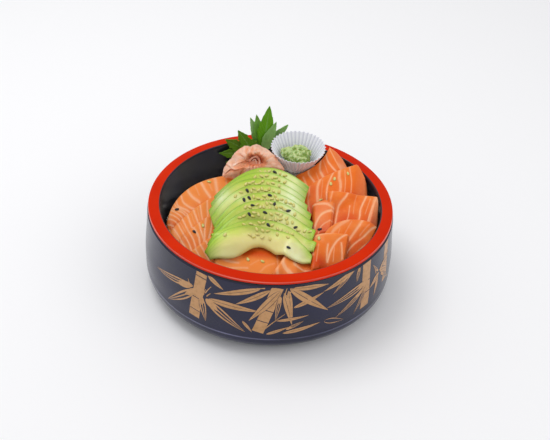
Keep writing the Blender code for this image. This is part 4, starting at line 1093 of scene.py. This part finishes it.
# Gold print on the wall: each stalk as turn and height of its top and foot, width and where its nodes
# are; each leaf as turn and height of its base and tip, width and style
stalks = [
    (-28.9, 67.3, -32.2, 23.4, 9.2, (0.1, 0.56, 0.83)), (4.9, 67.3, -2.9, 24.8, 8.6, (0.5, 0.74)),
    (49.3, 67.3, 49.0, 24.0, 9.4, (0.42, 0.66)), (67.6, 67.3, 66.2, 30.5, 8.0, (0.5,)),
]

printLeaves = [
    (-33.2, 51.6, -58.2, 42.3, 6.2, "line"), (-34.4, 49.7, -43.2, 45.7, 4.4, "full"),
    (-31.4, 49.4, -48.7, 22.4, 7.5, "line"), (-28.8, 45.7, -26.1, 23.7, 5.9, "line"),
    (-26.4, 45.4, -8.2, 23.7, 8.1, "line"), (-24.9, 46.5, -1.5, 44.5, 5.7, "full"),
    (-25.8, 67.3, -18.4, 58.8, 4.1, "full"), (-2.4, 65.5, -22.7, 52.8, 5.2, "full"),
    (1.7, 64.6, -12.8, 48.5, 5.1, "full"), (6.1, 64.6, -6.7, 35.6, 6.6, "full"),
    (7.6, 60.6, 11.6, 32.4, 5.0, "full"), (9.5, 64.3, 11.7, 39.4, 4.0, "full"),
    (6.2, 59.2, 4.4, 37.0, 3.6, "line"), (12.0, 48.2, 25.6, 58.2, 4.0, "full"),
    (10.0, 66.2, 27.7, 40.0, 7.2, "full"), (11.5, 66.0, 27.5, 64.3, 5.2, "full"),
    (4.9, 36.9, 18.9, 39.7, 2.8, "full"), (0.9, 23.3, 10.2, 30.5, 3.0, "full"),
    (7.8, 24.2, 24.4, 30.3, 4.0, "full"), (9.2, 28.0, 16.8, 34.8, 3.1, "line"),
    (26.0, 30.2, 36.5, 23.9, 5.8, "open"), (50.8, 49.8, 26.8, 41.8, 6.4, "line"),
    (47.4, 44.3, 31.5, 29.8, 4.6, "line"), (50.3, 46.2, 42.0, 23.9, 4.2, "line"),
    (41.0, 67.3, 25.2, 58.4, 5.2, "full"), (40.0, 67.3, 29.9, 53.2, 4.2, "line"),
    (44.2, 66.9, 42.9, 54.4, 3.8, "line"), (59.7, 46.5, 51.9, 39.6, 5.0, "full"),
    (58.8, 48.4, 53.7, 59.9, 2.3, "line"), (60.5, 47.1, 69.5, 40.1, 4.4, "full"),
    (61.6, 43.3, 72.4, 26.3, 3.4, "line"), (-9.4, 34.3, -5.1, 24.4, 2.6, "full"),
    (60.0, 47.5, 71.0, 55.0, 4.0, "full"), (58.5, 45.0, 56.0, 27.0, 4.0, "full"),
]
# Thin twigs, as turn and height of both ends
printTwigs = [
    (-26.7, 50.4, -24.0, 58.2), (-26.0, 47.9, -24.2, 51.8), (-1.0, 26.2, 8.4, 43.1),
    (-27.6, 48.0, -26.6, 54.0), (8.0, 60.0, 8.8, 66.5), (10.0, 62.0, 13.0, 67.0),
    (57.0, 48.0, 55.5, 57.0), (-35.0, 52.0, -36.0, 56.0), (7.5, 62.0, 10.5, 55.0),
    (-0.5, 66.5, -4.0, 66.0),
]

# Parts of a leaf's width that each style fills with gold
strokes = {
    "full": [(-1, -0.07), (0.07, 1)], "line": [(-1, -0.55), (-0.13, 0.17), (0.62, 1)],
    "open": [(-1, -0.72), (0.72, 1)],
}
printLow, printHigh, printStep = 21.0, 67.0, 0.0025


class Print:
    # Collects the print's patches on the wall, in turn and height
    def __init__(self):
        self.points, self.faces, self.slots, self.level = [], [], [], 0.02
        self.heights, self.radii = zip(*((z, r) for r, z in tubProfile()))

    def patch(self, along, across, slot):
        # A grid of (turn in degrees, height) rows put on the wall at the present level
        nu, nv = along.shape
        first = len(self.points)
        radius = np.interp(across, self.heights, self.radii) + self.level + 0.012 * (slot == 0)
        turn = np.radians(along)
        x, y = radius * np.sin(turn), -radius * np.cos(turn)
        self.points += np.stack([x, y, across], axis=-1).reshape(-1, 3).tolist()
        for i in range(nu - 1):
            for j in range(nv - 1):
                a = first + i * nv + j
                self.faces.append((a, a + nv, a + nv + 1, a + 1))
                self.slots.append(slot)

    def band(self, ends, width, shape, low, high, slot, bow=0.0, steps=22):
        # A strip along the line between two places, from low to high shares of its half width
        a0, z0, a1, z1 = ends
        scale = math.radians(1) * 99  # millimetres of wall for one degree
        along = np.array([(a1 - a0) * scale, z1 - z0])
        length = np.hypot(*along)
        unit = along / length
        side = np.array([-unit[1], unit[0]])
        t = np.linspace(0, 1, steps)[:, None]
        share = np.linspace(low, high, 4)[None, :]
        offset = shape(t) * share * width / 2 + bow * length * t * (1 - t)
        s = a0 * scale + unit[0] * length * t + side[0] * offset
        z = z0 + unit[1] * length * t + side[1] * offset
        self.patch(s / scale, np.clip(z, printLow, printHigh), slot)


def leafShape(t):
    return np.sin(np.pi * np.clip(t, 0, 1) ** 0.75) ** 0.9 * (1 - 0.25 * t) + 0.02


def partOf(ends, low, high):
    # The stretch between two shares of a line
    a0, z0, a1, z1 = ends
    return a0 + (a1 - a0) * low, z0 + (z1 - z0) * low, a0 + (a1 - a0) * high, z0 + (z1 - z0) * high


def makePrint(material, dark):
    book = Print()
    rng = random.Random(5)
    for *line, width, nodes in stalks:
        cuts = [0.0, *nodes, 1.0]
        for low, high in zip(cuts, cuts[1:]):
            ends = partOf(line, low + 0.008, high - 0.008)
            book.band(ends, width, lambda t: 1 + 0.05 * np.abs(2 * t - 1) ** 6, -1, 1, 0, steps=10)
    for *ends, width, style in printLeaves:
        bow = rng.uniform(-0.05, 0.05)
        book.level += printStep
        book.band(ends, width + 0.9, leafShape, -1, 1, 1, bow)
        for low, high in strokes[style]:
            book.band(ends, width, leafShape, low, high, 0, bow)
        if style == "line":
            book.band(partOf(ends, 0.0, 0.35), width * 0.8, leafShape, -1, 1, 0, bow)
    for ends in printTwigs:
        book.level += printStep
        book.band(ends, 1.0, lambda t: 1 - 0.6 * t, -1, 1, 0, 0.12, 8)
    made = makeMesh("gold_print", np.array(book.points), book.faces, [material, dark], slots=book.slots)
    first = made.data.polygons[0]
    if first.normal.dot(Vector((first.center.x, first.center.y, 0))) < 0:
        made.data.flip_normals()
    finishPiece(made, "lacquer")


# Rice
rice = {
    "grain": (6.2, 2.5, 2.3), "count": 1500, "apart": 2.2, "draws": 60000, "unevenness": 0.3,
    "rings": 44, "sides": 144, "sink": 0.5, "emptyLevel": 30.0,
    # Radii of the core's and the grains' edges, and of the rings by the floor with their heights
    "coreReach": innerWall - 1.2, "grainReach": innerWall - 3.4,
    "lowRings": [(innerWall - 2.2, 18.0), (74.0, floorZ + gap)],
}


def nodeTriangles(name):
    mesh = frame["nodes"][name].data
    mesh.calc_loop_triangles()
    points = np.array([v.co[:] for v in mesh.vertices]) / mm
    faces = np.array([t.vertices[:] for t in mesh.loop_triangles])
    return points, faces


def makeRice(tree, material):
    # A core just under the solid's top, and loose grains where nothing lies on the rice
    points, faces = nodeTriangles("rice")
    _low, high = lowAndHigh(points, faces)
    lows = np.full(gridX.shape, np.inf)
    for name in frame["nodes"]:
        if name not in ("rice", "bowl"):
            low, _high = lowAndHigh(*nodeTriangles(name))
            lows = np.minimum(lows, low)
    high = np.where(np.isfinite(high), high, rice["emptyLevel"])
    level = np.minimum(blur(high, 3), high) - rice["sink"]
    sides = rice["sides"]
    turn = 2 * np.pi * np.arange(sides) / sides
    rows = [np.array([[0.0, 0.0, float(sample(level, 0.0, 0.0))]])]
    for radius in np.linspace(0, rice["coreReach"], rice["rings"] + 1)[1:]:
        x, y = radius * np.cos(turn), radius * np.sin(turn)
        rows.append(np.stack([x, y, sample(level, x, y)], axis=1))
    for radius, z in rice["lowRings"]:
        rows.append(np.stack([radius * np.cos(turn), radius * np.sin(turn), np.full(sides, z)], axis=1))
    core = np.concatenate(rows)
    faces = [(0, 1 + s, 1 + (s + 1) % sides) for s in range(sides)]
    for ring in range(rice["rings"] + 1):
        for s in range(sides):
            a, b = 1 + ring * sides + s, 1 + ring * sides + (s + 1) % sides
            faces += [(a, a + sides, b + sides), (a, b + sides, b)]
    last = len(core) - sides
    faces += [(last, last + s + 1, last + s) for s in range(1, sides - 1)]
    finishPiece(makeMesh("rice_core", core, outward(core, np.array(faces)), [material]), "rice", "rice")
    rng = random.Random(7)
    near = spread(lows, 3, np.minimum)
    near = np.where(np.isfinite(near), near, 99.0)
    taken, places, turns = {}, [], []
    for _ in range(rice["draws"]):
        if len(places) >= rice["count"]:
            break
        x, y = rng.uniform(-84, 84), rng.uniform(-84, 84)
        if math.hypot(x, y) > rice["grainReach"] or (x < -60 and y < 2):  # slices lie on the rice there
            continue
        z = float(sample(level, x, y)) + rng.uniform(0.5, 1.5)
        if z + 1.7 > float(sample(near, x, y)):
            continue
        key = (int(x // 4), int(y // 4))
        if any(math.dist((x, y), other) < rice["apart"] for dx in (-1, 0, 1) for dy in (-1, 0, 1)
               for other in taken.get((key[0] + dx, key[1] + dy), ())):
            continue
        taken.setdefault(key, []).append((x, y))
        places.append((x, y, z))
        turns.append((rng.uniform(-0.3, 0.3), rng.uniform(-0.4, 0.4), rng.uniform(0, 6.28)))
    print("rice grains", len(places))
    shape = ball(rice["grain"], 8, 6, 0.05)
    grains = scatter("rice_grains", tree, places, turns, shape, material, rice["unevenness"], 4)
    finishPiece(grains, "rice", "rice")


# Ginger
ginger = {
    "middle": (-14.5, 52.2, 73.3), "lean": 38.0, "folds": 11, "foldDepth": 1.3, "hollow": 5.5, "body": 6.5,
    "sink": 1.0, "around": 220, "rings": 50, "thick": 0.55,
    # Reach of the heap in each direction, in degrees from its right
    "outline": [
        (0, 19.0), (25, 14.8), (45, 13.2), (68, 12.6), (90, 13.4), (112, 12.2), (130, 15.0), (150, 16.8),
        (178, 20.0), (195, 26.0), (209, 30.5), (220, 25.0), (240, 16.0), (270, 12.5), (310, 15.0),
        (335, 24.0), (345, 25.0),
    ],
    # Each sheet: turn of its middle and half its spread in degrees, inner and outer share of the heap,
    # how high its free edge stands, and how far the sheet turns on its way out
    "sheets": [
        (-32, 34, 0.26, 1.0, 1.2, 26), (2, 36, 0.3, 1.0, 1.8, 34), (36, 30, 0.34, 1.0, 1.2, 30),
        (74, 34, 0.4, 1.0, 1.4, -10), (112, 24, 0.36, 1.06, 2.4, -34), (144, 24, 0.3, 1.0, 2.6, -30),
        (168, 24, 0.26, 1.0, 1.6, 28), (192, 18, 0.42, 1.0, 2.6, -18), (208, 16, 0.5, 1.0, 1.8, 14),
        (232, 24, 0.24, 0.98, 2.0, 30), (272, 34, 0.24, 0.98, 1.2, 0), (58, 62, 0.24, 0.56, 2.2, 30),
        (150, 34, 0.22, 0.6, 2.0, -40), (205, 26, 0.22, 0.62, 2.2, 30),
    ],
    # The roll's place, radius and thickness, then the rolled slice and a smaller fold inside it: size,
    # how far aside, start and end of the bend in degrees, how far it stands out, and unevenness
    "roll": (-0.6, -1.6, 3.57, 1.31),
    "rolled": [(1.0, 0.0, -20, 176, 4.6, 0.10), (0.46, -0.5, -50, 150, 3.9, 0.16)],
}


def planePlace(across, up, towards):
    # A place on the leaning plane of the heap
    lean = math.radians(ginger["lean"])
    mx, my, mz = ginger["middle"]
    x = mx + across
    y = my + up * math.sin(lean) - towards * math.cos(lean)
    z = mz + up * math.cos(lean) + towards * math.sin(lean)
    return np.stack(np.broadcast_arrays(x, y, z), axis=-1)


def gingerSurface(turn, share, lift=0.0, folded=1.0):
    # The heap as turn and share of its reach: places, nearness of the rim, and how deep they lie
    angles = np.radians([row[0] for row in ginger["outline"]] + [360])
    reaches = [row[1] for row in ginger["outline"]] + [ginger["outline"][0][1]]
    reach = np.interp(turn % (2 * np.pi), angles, reaches)
    phase = (ginger["folds"] * turn / (2 * np.pi) + 0.55 * share + 0.25 * np.sin(3 * turn)) % 1.0
    fold = 0.5 + 0.4 * np.where(phase < 0.72, phase / 0.72, (1 - phase) / 0.28)
    fold = 0.6 + (fold - 0.6) * folded
    rim = share**4
    inFold = np.clip((share - 0.25) * 3, 0, 1)
    depth = 6.0 * (1 - rim) + ginger["foldDepth"] * fold * inFold
    depth = depth + 2.4 * np.exp(-(((share - 0.5) / 0.16) ** 2)) * np.clip(np.sin(turn) + 0.35, 0, 1)
    depth = depth + 1.3 * np.clip(reach * share / 12 - 0.8, 0, 1)
    depth = depth + 3.6 * np.clip((reach * share * np.cos(turn) - 5) / 7, 0, 1)
    hollow = np.clip((0.4 - share) / 0.17, 0, 1) ** 0.6
    depth = depth - ginger["hollow"] * hollow * np.clip(np.sin(turn) + 0.75, 0.35, 1)
    depth = depth + 5.5 * np.clip((reach - 20) / 11, 0, 1) * share**2
    # Deeper orange in the hollow and the fold valleys, partly painted shade
    deep = np.clip(0.9 * hollow + (1 - fold) * 0.75 * inFold * (share > 0.25) - 0.1, 0, 1)
    depth = depth - ginger["sink"] * (1 - rim) + lift
    return planePlace(reach * share * np.cos(turn), reach * share * np.sin(turn), depth), rim, deep


def makeGingerHeap(material):
    around, rings = ginger["around"], ginger["rings"]
    turns = 2 * np.pi * np.arange(around) / around
    shares = np.linspace(0, 1, rings + 1)[1:] ** 0.8
    turn, share = np.meshgrid(turns, shares, indexing="ij")
    front, rim, deep = gingerSurface(turn, share)
    middle, _rim, _deep = gingerSurface(np.array([0.1]), np.array([0.01]))
    back = front[:, 3::4].copy()
    lean = math.radians(ginger["lean"])
    down = ginger["body"] * (1 - 0.72 * rim[:, 3::4])
    back[..., 1] += down * math.cos(lean)
    back[..., 2] -= down * math.sin(lean)
    layers = [front[:, k] for k in range(rings)] + [back[:, k] for k in range(back.shape[1] - 1, -1, -1)]
    tones = [deep[:, k] for k in range(rings)] + [np.full(around, 0.3)] * back.shape[1]
    points = np.concatenate([middle, *layers, [back[:, 0].mean(axis=0)]])
    tone = np.clip(np.concatenate([[0.9], *tones, [0.3]]), 0, 0.4)
    faces = [(0, 1 + k, 1 + (k + 1) % around) for k in range(around)]
    for layer in range(len(layers) - 1):
        for k in range(around):
            a, b = 1 + layer * around + k, 1 + layer * around + (k + 1) % around
            faces += [(a, a + around, b + around), (a, b + around, b)]
    last = len(points) - 1
    faces += [(last, last - around + (k + 1) % around, last - around + k) for k in range(around)]
    body = makeMesh("ginger_heap", points, outward(points, np.array(faces)), [material], {"deep": tone}, 60)
    finishPiece(body, "ginger", "ginger")


def makeGingerSheets(material):
    # Thin slices fanned over the heap, each with one free wavy edge
    parts, tones = [], []
    a = np.linspace(-1, 1, 34)[:, None]
    s = np.linspace(0, 1, 26)[None, :]
    free = 0.5 + 0.5 * a
    for number, (middleTurn, spreadTurn, inner, outer, rise, swirl) in enumerate(ginger["sheets"]):
        wave = 0.055 * np.sin(5.3 * a + 1.7 * number) + 0.03 * np.sin(13 * a + number)
        share = inner + (outer * (1 - 0.10 * np.abs(a) ** 3) - inner + wave * s) * s
        fan = spreadTurn * (a * (0.8 + 0.2 * s) + 0.12 * np.sin(4 * s + number))
        turn = np.radians(middleTurn + swirl * (s - 0.4) + fan)
        lift = 0.55 + rise * free**1.5 * np.sin(np.pi * np.clip(0.18 + 0.76 * s, 0, 1)) ** 0.7
        ripple = np.sin(5 * a + 4 * s + 2 * number)
        lift = lift + 0.5 * ripple * (0.3 + 0.7 * s) + 0.12 * np.sin(15 * a - 6 * s)
        lift = lift - 0.6 * s**5
        share = np.clip(share, 0.05, 1.0)
        rows, _rim, _deep = gingerSurface(turn * np.ones(share.shape), share, lift, 0.3)
        parts.append(sheet(rows, ginger["thick"]))
        # Painted highlight toward the free edge, painted shade near the heap's middle, under the hood and in
        # the low fold
        tone = 0.62 - 0.6 * free + 0.6 * np.exp(-(((s - 0.02) / 0.16) ** 2))
        tone = tone + 0.22 * np.sin(5 * a + 4 * s + 2 * number + 3.1)
        hood = np.exp(-(((share - 0.36) / 0.1) ** 2)) * np.clip(np.sin(turn) * 2, 0, 1)
        low = np.exp(-(((np.degrees(turn) % 360 - 214) / 14) ** 2) - ((share - 0.5) / 0.25) ** 2)
        tone = tone * (1.1 - 0.6 * share) - 0.15 * share**3 + 0.5 * hood + 0.5 * low
        tones += [np.clip(tone, 0, 1).ravel()] * 2
    folded = makeMesh("ginger_sheets", *joined(parts), [material], {"deep": np.concatenate(tones)}, 60)
    finishPiece(folded, "ginger", "ginger")


def makeGingerRoll(material):
    across, up, radius, thick = ginger["roll"]
    count, steps, root = 36, 12, -4.0
    parts = []
    for share, aside, start, end, out, uneven in ginger["rolled"]:
        rows = np.zeros((count, steps, 3))
        bend = np.radians(np.linspace(start, end, count))
        for j, towards in enumerate(np.linspace(root, out, steps)):
            flare = 1 + 0.24 * (towards - root) / 8.6
            wide = share * radius * flare * (1 + uneven * np.sin(3 * bend + towards))
            rows[:, j] = planePlace(aside + across + wide * np.cos(bend), up + wide * np.sin(bend), towards)
        parts.append(sheet(rows, thick * (0.6 + 0.4 * share)))
    # Painted shade at the roll's root in the hollow, paler toward its end
    tone = np.tile(np.linspace(0.45, 0.0, steps), 2 * count * len(parts))
    rolled = makeMesh("ginger_roll", *joined(parts), [material], {"deep": tone}, 60)
    finishPiece(rolled, "ginger", "ginger")


# Leaves: angle from straight up, length, width, teeth and paleness of each lobe, where below zero is painted
# shade
leaves = {
    "leaf_back": {
        "root": (-9, 80.5, 64), "lean": 0.13, "curve": 0.0,
        "lobes": [
            (39, 32, 10.5, 0, 0.9), (-22, 32, 10.5, 0, 1.0), (-12, 33.5, 12, 0, 0.3), (5, 43, 15.5, 0, 0.0),
            (19, 30.5, 11, 0, 0.9),
        ],
    },
    "leaf_side": {
        "root": (-14, 76.5, 60), "lean": 0.06, "curve": 0.006,
        "lobes": [
            (-100, 27, 10, 2, -0.6), (-80, 33, 13.5, 3, -0.8), (-56, 33, 16, 3, -1.0),
            (-31, 32.5, 14.5, 3, -0.7),
        ],
    },
}
leafThick = 0.495


def makeLeaf(name, material):
    # Lobes that fan out from one root, each a thin sheet with a midrib, and a ball that joins them
    facts = leaves[name]
    lobes, tones, veins = [], [], []
    middle = (len(facts["lobes"]) - 1) / 2
    s = np.linspace(0, 1, 64)[:, None]
    t = np.linspace(-1, 1, 15)[None, :]
    rising = 0.3 + 0.7 * (s / 0.45) ** 0.7
    falling = 0.02 + 0.98 * np.clip(1 - (s - 0.45) / 0.55, 0, 1) ** 0.8
    for number, (angle, length, width, teeth, tone) in enumerate(facts["lobes"]):
        root = np.array(facts["root"], float) + (0, (middle - number) * 1.15, 0)
        wide = width / 2 * np.where(s < 0.45, rising, falling)
        if teeth:
            phase = (s * 3.0) % 1.0
            wide = wide * (1.0 + 0.36 * np.where(phase < 0.3, phase / 0.3, (1 - phase) / 0.7) - 0.18)
            wide = wide * (1.0 + 0.06 * np.sin(s * 60))
        else:
            wide = wide * (1.0 + 0.12 * ((s * 6.5 + 0.3 * number) % 1.0) - 0.05)
        turn = math.radians(angle)
        x = math.sin(turn) * s * length + math.cos(turn) * t * wide
        z = math.cos(turn) * s * length - math.sin(turn) * t * wide
        bend = (number % 3 - 1) * 0.9
        wave = 0.35 * np.sin(9 * s + 2 * t + number) * np.abs(t)
        y = facts["lean"] * (z + 4) + 0.8 * (1 - np.abs(t)) + bend * s**2 - facts["curve"] * x * x + wave
        lobes.append(sheet(np.stack([root[0] + x, root[1] + y, root[2] + z], axis=-1), leafThick))
        side = np.sin(34 * s - 9 * np.abs(t)) ** 8 * 0.6 * (s < 0.95)
        vein = np.maximum(np.exp(-((t * wide / 0.35) ** 2)), side * np.ones(t.shape)) * np.ones(s.shape)
        veins += [vein.ravel()] * 2
        tones += [np.full(vein.size, tone)] * 2
    points, faces = joined(lobes)
    stem, stemFaces = ball((6, 2.4 + 2.3 * middle, 7), 16, 9)
    stem = stem + np.array(facts["root"], float) + (0, 0.4, 0.5)
    faces = faces.tolist() + (outward(stem, stemFaces) + len(points)).tolist()
    points = np.concatenate([points, stem])
    plain = [np.zeros(len(stem))]
    fields = {"tone": np.concatenate(tones + plain), "vein": np.concatenate(veins + plain)}
    finishPiece(makeMesh(name + "_lobes", points, faces, [material], fields), "leaf", name)


# Paper cup and wasabi
cup = {
    "centre": (20.5, 63.5), "baseZ": 63.5, "height": 19.5, "baseR": 12.0, "topR": 22.6, "tilt": 3.0,
    "pleats": 38, "pleatDepth": 0.7, "thick": 0.5, "steps": 10, "layers": 14,
}

wasabi = {
    # Middle and half sizes of the big lumps; the last one fills the cup below them
    "lumps": [
        (-8.0, 1.5, 11.2, 7.0, 6.5, 5.0), (-0.5, -2.5, 10.8, 6.0, 8.5, 5.2), (6.0, 2.0, 11.2, 6.0, 6.0, 4.8),
        (1.0, 5.5, 12.0, 7.5, 5.0, 4.6), (4.0, -6.0, 9.8, 5.5, 5.0, 4.4), (0.0, 0.5, 6.4, 12.0, 11.0, 5.2),
    ],
    "small": 8, "smallSizes": (1.5, 2.7), "voxel": 0.45, "crumb": 1.0, "crumbSize": 2.6, "shrink": 0.97,
}


def cupPlace(radius, turn, z):
    # A place in the tilted cup, from its own middle and floor
    tilt = math.radians(cup["tilt"])
    x, y = radius * np.cos(turn), radius * np.sin(turn)
    return np.stack(np.broadcast_arrays(
        cup["centre"][0] + x,
        cup["centre"][1] + y * math.cos(tilt) - z * math.sin(tilt),
        cup["baseZ"] + y * math.sin(tilt) + z * math.cos(tilt),
    ), axis=-1)


def makeCup(material):
    around = cup["pleats"] * cup["steps"]
    turn = 2 * np.pi * np.arange(around) / around
    phase = (turn * cup["pleats"] / (2 * np.pi) + 0.25) % 1.0
    zigzag = np.clip((1 - 4 * np.abs(phase - 0.5)) * 1.15, -1, 1)
    shares = np.linspace(0, 1, cup["layers"])
    layers, valleys = [], []
    for inner in (0, 1):
        for share in shares if inner == 0 else shares[::-1]:
            z = share * cup["height"] + (cup["thick"] if inner and share == 0 else 0)
            radius = cup["baseR"] + (cup["topR"] - cup["baseR"]) * share
            radius = radius + cup["pleatDepth"] * (0.3 + 0.7 * share) * zigzag - inner * cup["thick"] * 0.8
            droop = 0.25 * share * np.sin(3 * turn + 0.6) - 0.25 * share
            layers.append(cupPlace(radius, turn, z + droop - 0.25 * share * (1 - zigzag) * 0.5))
            side = zigzag if inner else -zigzag
            # Painted shade in the pleat valleys
            valleys.append(np.clip(0.5 + 0.6 * side, 0, 1) ** 1.5 * (0.85 - 0.3 * share if inner else 0.3))
    middles = [cupPlace(np.zeros(1), np.zeros(1), z) for z in (0.0, cup["thick"])]
    points = np.concatenate([*layers, *middles])
    faces = []
    for layer in range(len(layers) - 1):
        for k in range(around):
            a, b = layer * around + k, layer * around + (k + 1) % around
            faces += [(a, b, b + around), (a, b + around, a + around)]
    under, over, top = len(points) - 2, len(points) - 1, (len(layers) - 1) * around
    for k in range(around):
        n = (k + 1) % around
        faces += [(under, n, k), (over, top + k, top + n)]
    valley = np.concatenate([*valleys, [0.5, 0.5]])
    faces = outward(points, np.array(faces))
    made = makeMesh("pleated_cup", points, faces, [material], {"valley": valley}, 55)
    finishPiece(made, "paper", "paper_cup")


def makeWasabi(material):
    # Big lumps with small ones on them, run together by voxels and roughened
    rng = random.Random(9)
    shapes = bmesh.new()
    lumps = list(wasabi["lumps"])
    for x, y, z, a, b, c in wasabi["lumps"][:-1]:
        for _ in range(wasabi["small"]):
            turn, up = rng.uniform(0, 6.28), rng.uniform(0.05, 0.9)
            size = rng.uniform(*wasabi["smallSizes"])
            flat = math.sqrt(1 - up * up)
            lumps.append((
                x + (a - size * 0.8) * flat * math.cos(turn), y + (b - size * 0.8) * flat * math.sin(turn),
                z + (c - size * 0.85) * up, size * rng.uniform(0.9, 1.4), size, size * 0.85,
            ))
    shrink = wasabi["shrink"]
    for x, y, z, a, b, c in lumps:
        centre = Vector(cupPlace(math.hypot(x, y), math.atan2(y, x), z))
        made = bmesh.ops.create_icosphere(shapes, subdivisions=3, radius=1.0)
        for vert in made["verts"]:
            stretched = [part * reach * shrink for part, reach in zip(vert.co, (a, b, c))]
            vert.co = (Vector(stretched) + centre) * mm
    mesh = bpy.data.meshes.new("wasabi_heap")
    shapes.to_mesh(mesh)
    shapes.free()
    made = addObject("wasabi_heap", mesh)
    remesh = made.modifiers.new("voxels", "REMESH")
    remesh.mode = "VOXEL"
    remesh.voxel_size = wasabi["voxel"] * mm
    settle(made, remesh)
    points = np.array([v.co[:] for v in made.data.vertices]) / mm
    normals = np.array([v.normal[:] for v in made.data.vertices])
    rough = np.array([noise.fractal(Vector(p) / wasabi["crumbSize"], 0.8, 2.2, 4) for p in points])
    rough = np.clip(rough, -1, 1)
    points += normals * (wasabi["crumb"] * (rough - 0.45))[:, None]
    made.data.vertices.foreach_set("co", (points * mm).ravel())
    # Painted shade in the dents between crumbs and lower in the cup
    addField(made.data, "deep", np.clip(0.4 - rough * 1.3 + np.clip(78 - points[:, 2], 0, 6) * 0.08, 0, 1))
    smoothShade(made.data)
    made.data.materials.append(material)
    finishPiece(made, "wasabi", "wasabi")


# Studio
# Metres here, and the camera's turn about its own axis in degrees
studio = {
    "floorHalf": 5.0, "backdrop": "#FFFFFF", "glow": 0.72,
    "lamps": [("key", (-0.4, 0.2, 1.15), 0.7, 4.6), ("fill", (0.9, -0.5, 0.9), 0.9, 1.4)],
    "lampTarget": (0, 0, 0.05),
    "camera": (0, -0.57915, 0.50605), "target": (0.00408, 0, 0.05246), "roll": 3.25,
    "lens": 59.915, "sensor": 36, "clip": (0.01, 100),
}


def aim(item, target):
    item.rotation_euler = (Vector(target) - item.location).to_track_quat("-Z", "Y").to_euler()


def makeStudio():
    scene = bpy.context.scene
    scene.view_settings.view_transform = "Standard"
    reach = studio["floorHalf"] / mm
    corners = [(-reach, -reach, 0), (reach, -reach, 0), (reach, reach, 0), (-reach, reach, 0)]
    made = makeMesh("studio_floor", corners, [(0, 1, 2, 3)], [floorMaterial()])
    world = bpy.data.worlds.new("studio")
    scene.world = world
    world.use_nodes = True
    background = world.node_tree.nodes["Background"]
    background.inputs["Color"].default_value = toLinear(studio["backdrop"])
    background.inputs["Strength"].default_value = studio["glow"]
    for name, where, size, power in studio["lamps"]:
        light = bpy.data.lights.new(name, "AREA")
        light.shape, light.size, light.energy = "DISK", size, power
        lamp = addObject(name, light)
        lamp.location = where
        aim(lamp, studio["lampTarget"])
    view = bpy.data.cameras.new("camera")
    view.lens, view.sensor_width = studio["lens"], studio["sensor"]
    view.clip_start, view.clip_end = studio["clip"]
    camera = addObject("camera", view)
    camera.location = studio["camera"]
    aim(camera, studio["target"])
    camera.rotation_euler.rotate_axis("Z", math.radians(studio["roll"]))
    scene.camera = camera


makeStudio()
print("studio")
makeTub()
makePrint(goldMaterial(), bpy.data.materials["black_lacquer_outside"])
print("tub and print")
lifts, height, owner, rows = layAll()
print("slices laid")
makeFish(lifts, rows, fishMaterial())
makeAvocado(lifts, rows, avocadoMaterial())
print("fish and avocado")
grains = scatterTree()
makeSeeds(grains, seedPlaces(owner, height), height)
makeRice(grains, riceMaterial())
print("seeds and rice")
pickled = gingerMaterial()
makeGingerHeap(pickled)
makeGingerSheets(pickled)
makeGingerRoll(pickled)
green = leafMaterial()
for name in leaves:
    makeLeaf(name, green)
print("ginger and leaves")
makeCup(paperMaterial())
makeWasabi(wasabiMaterial())
print("cup and wasabi")
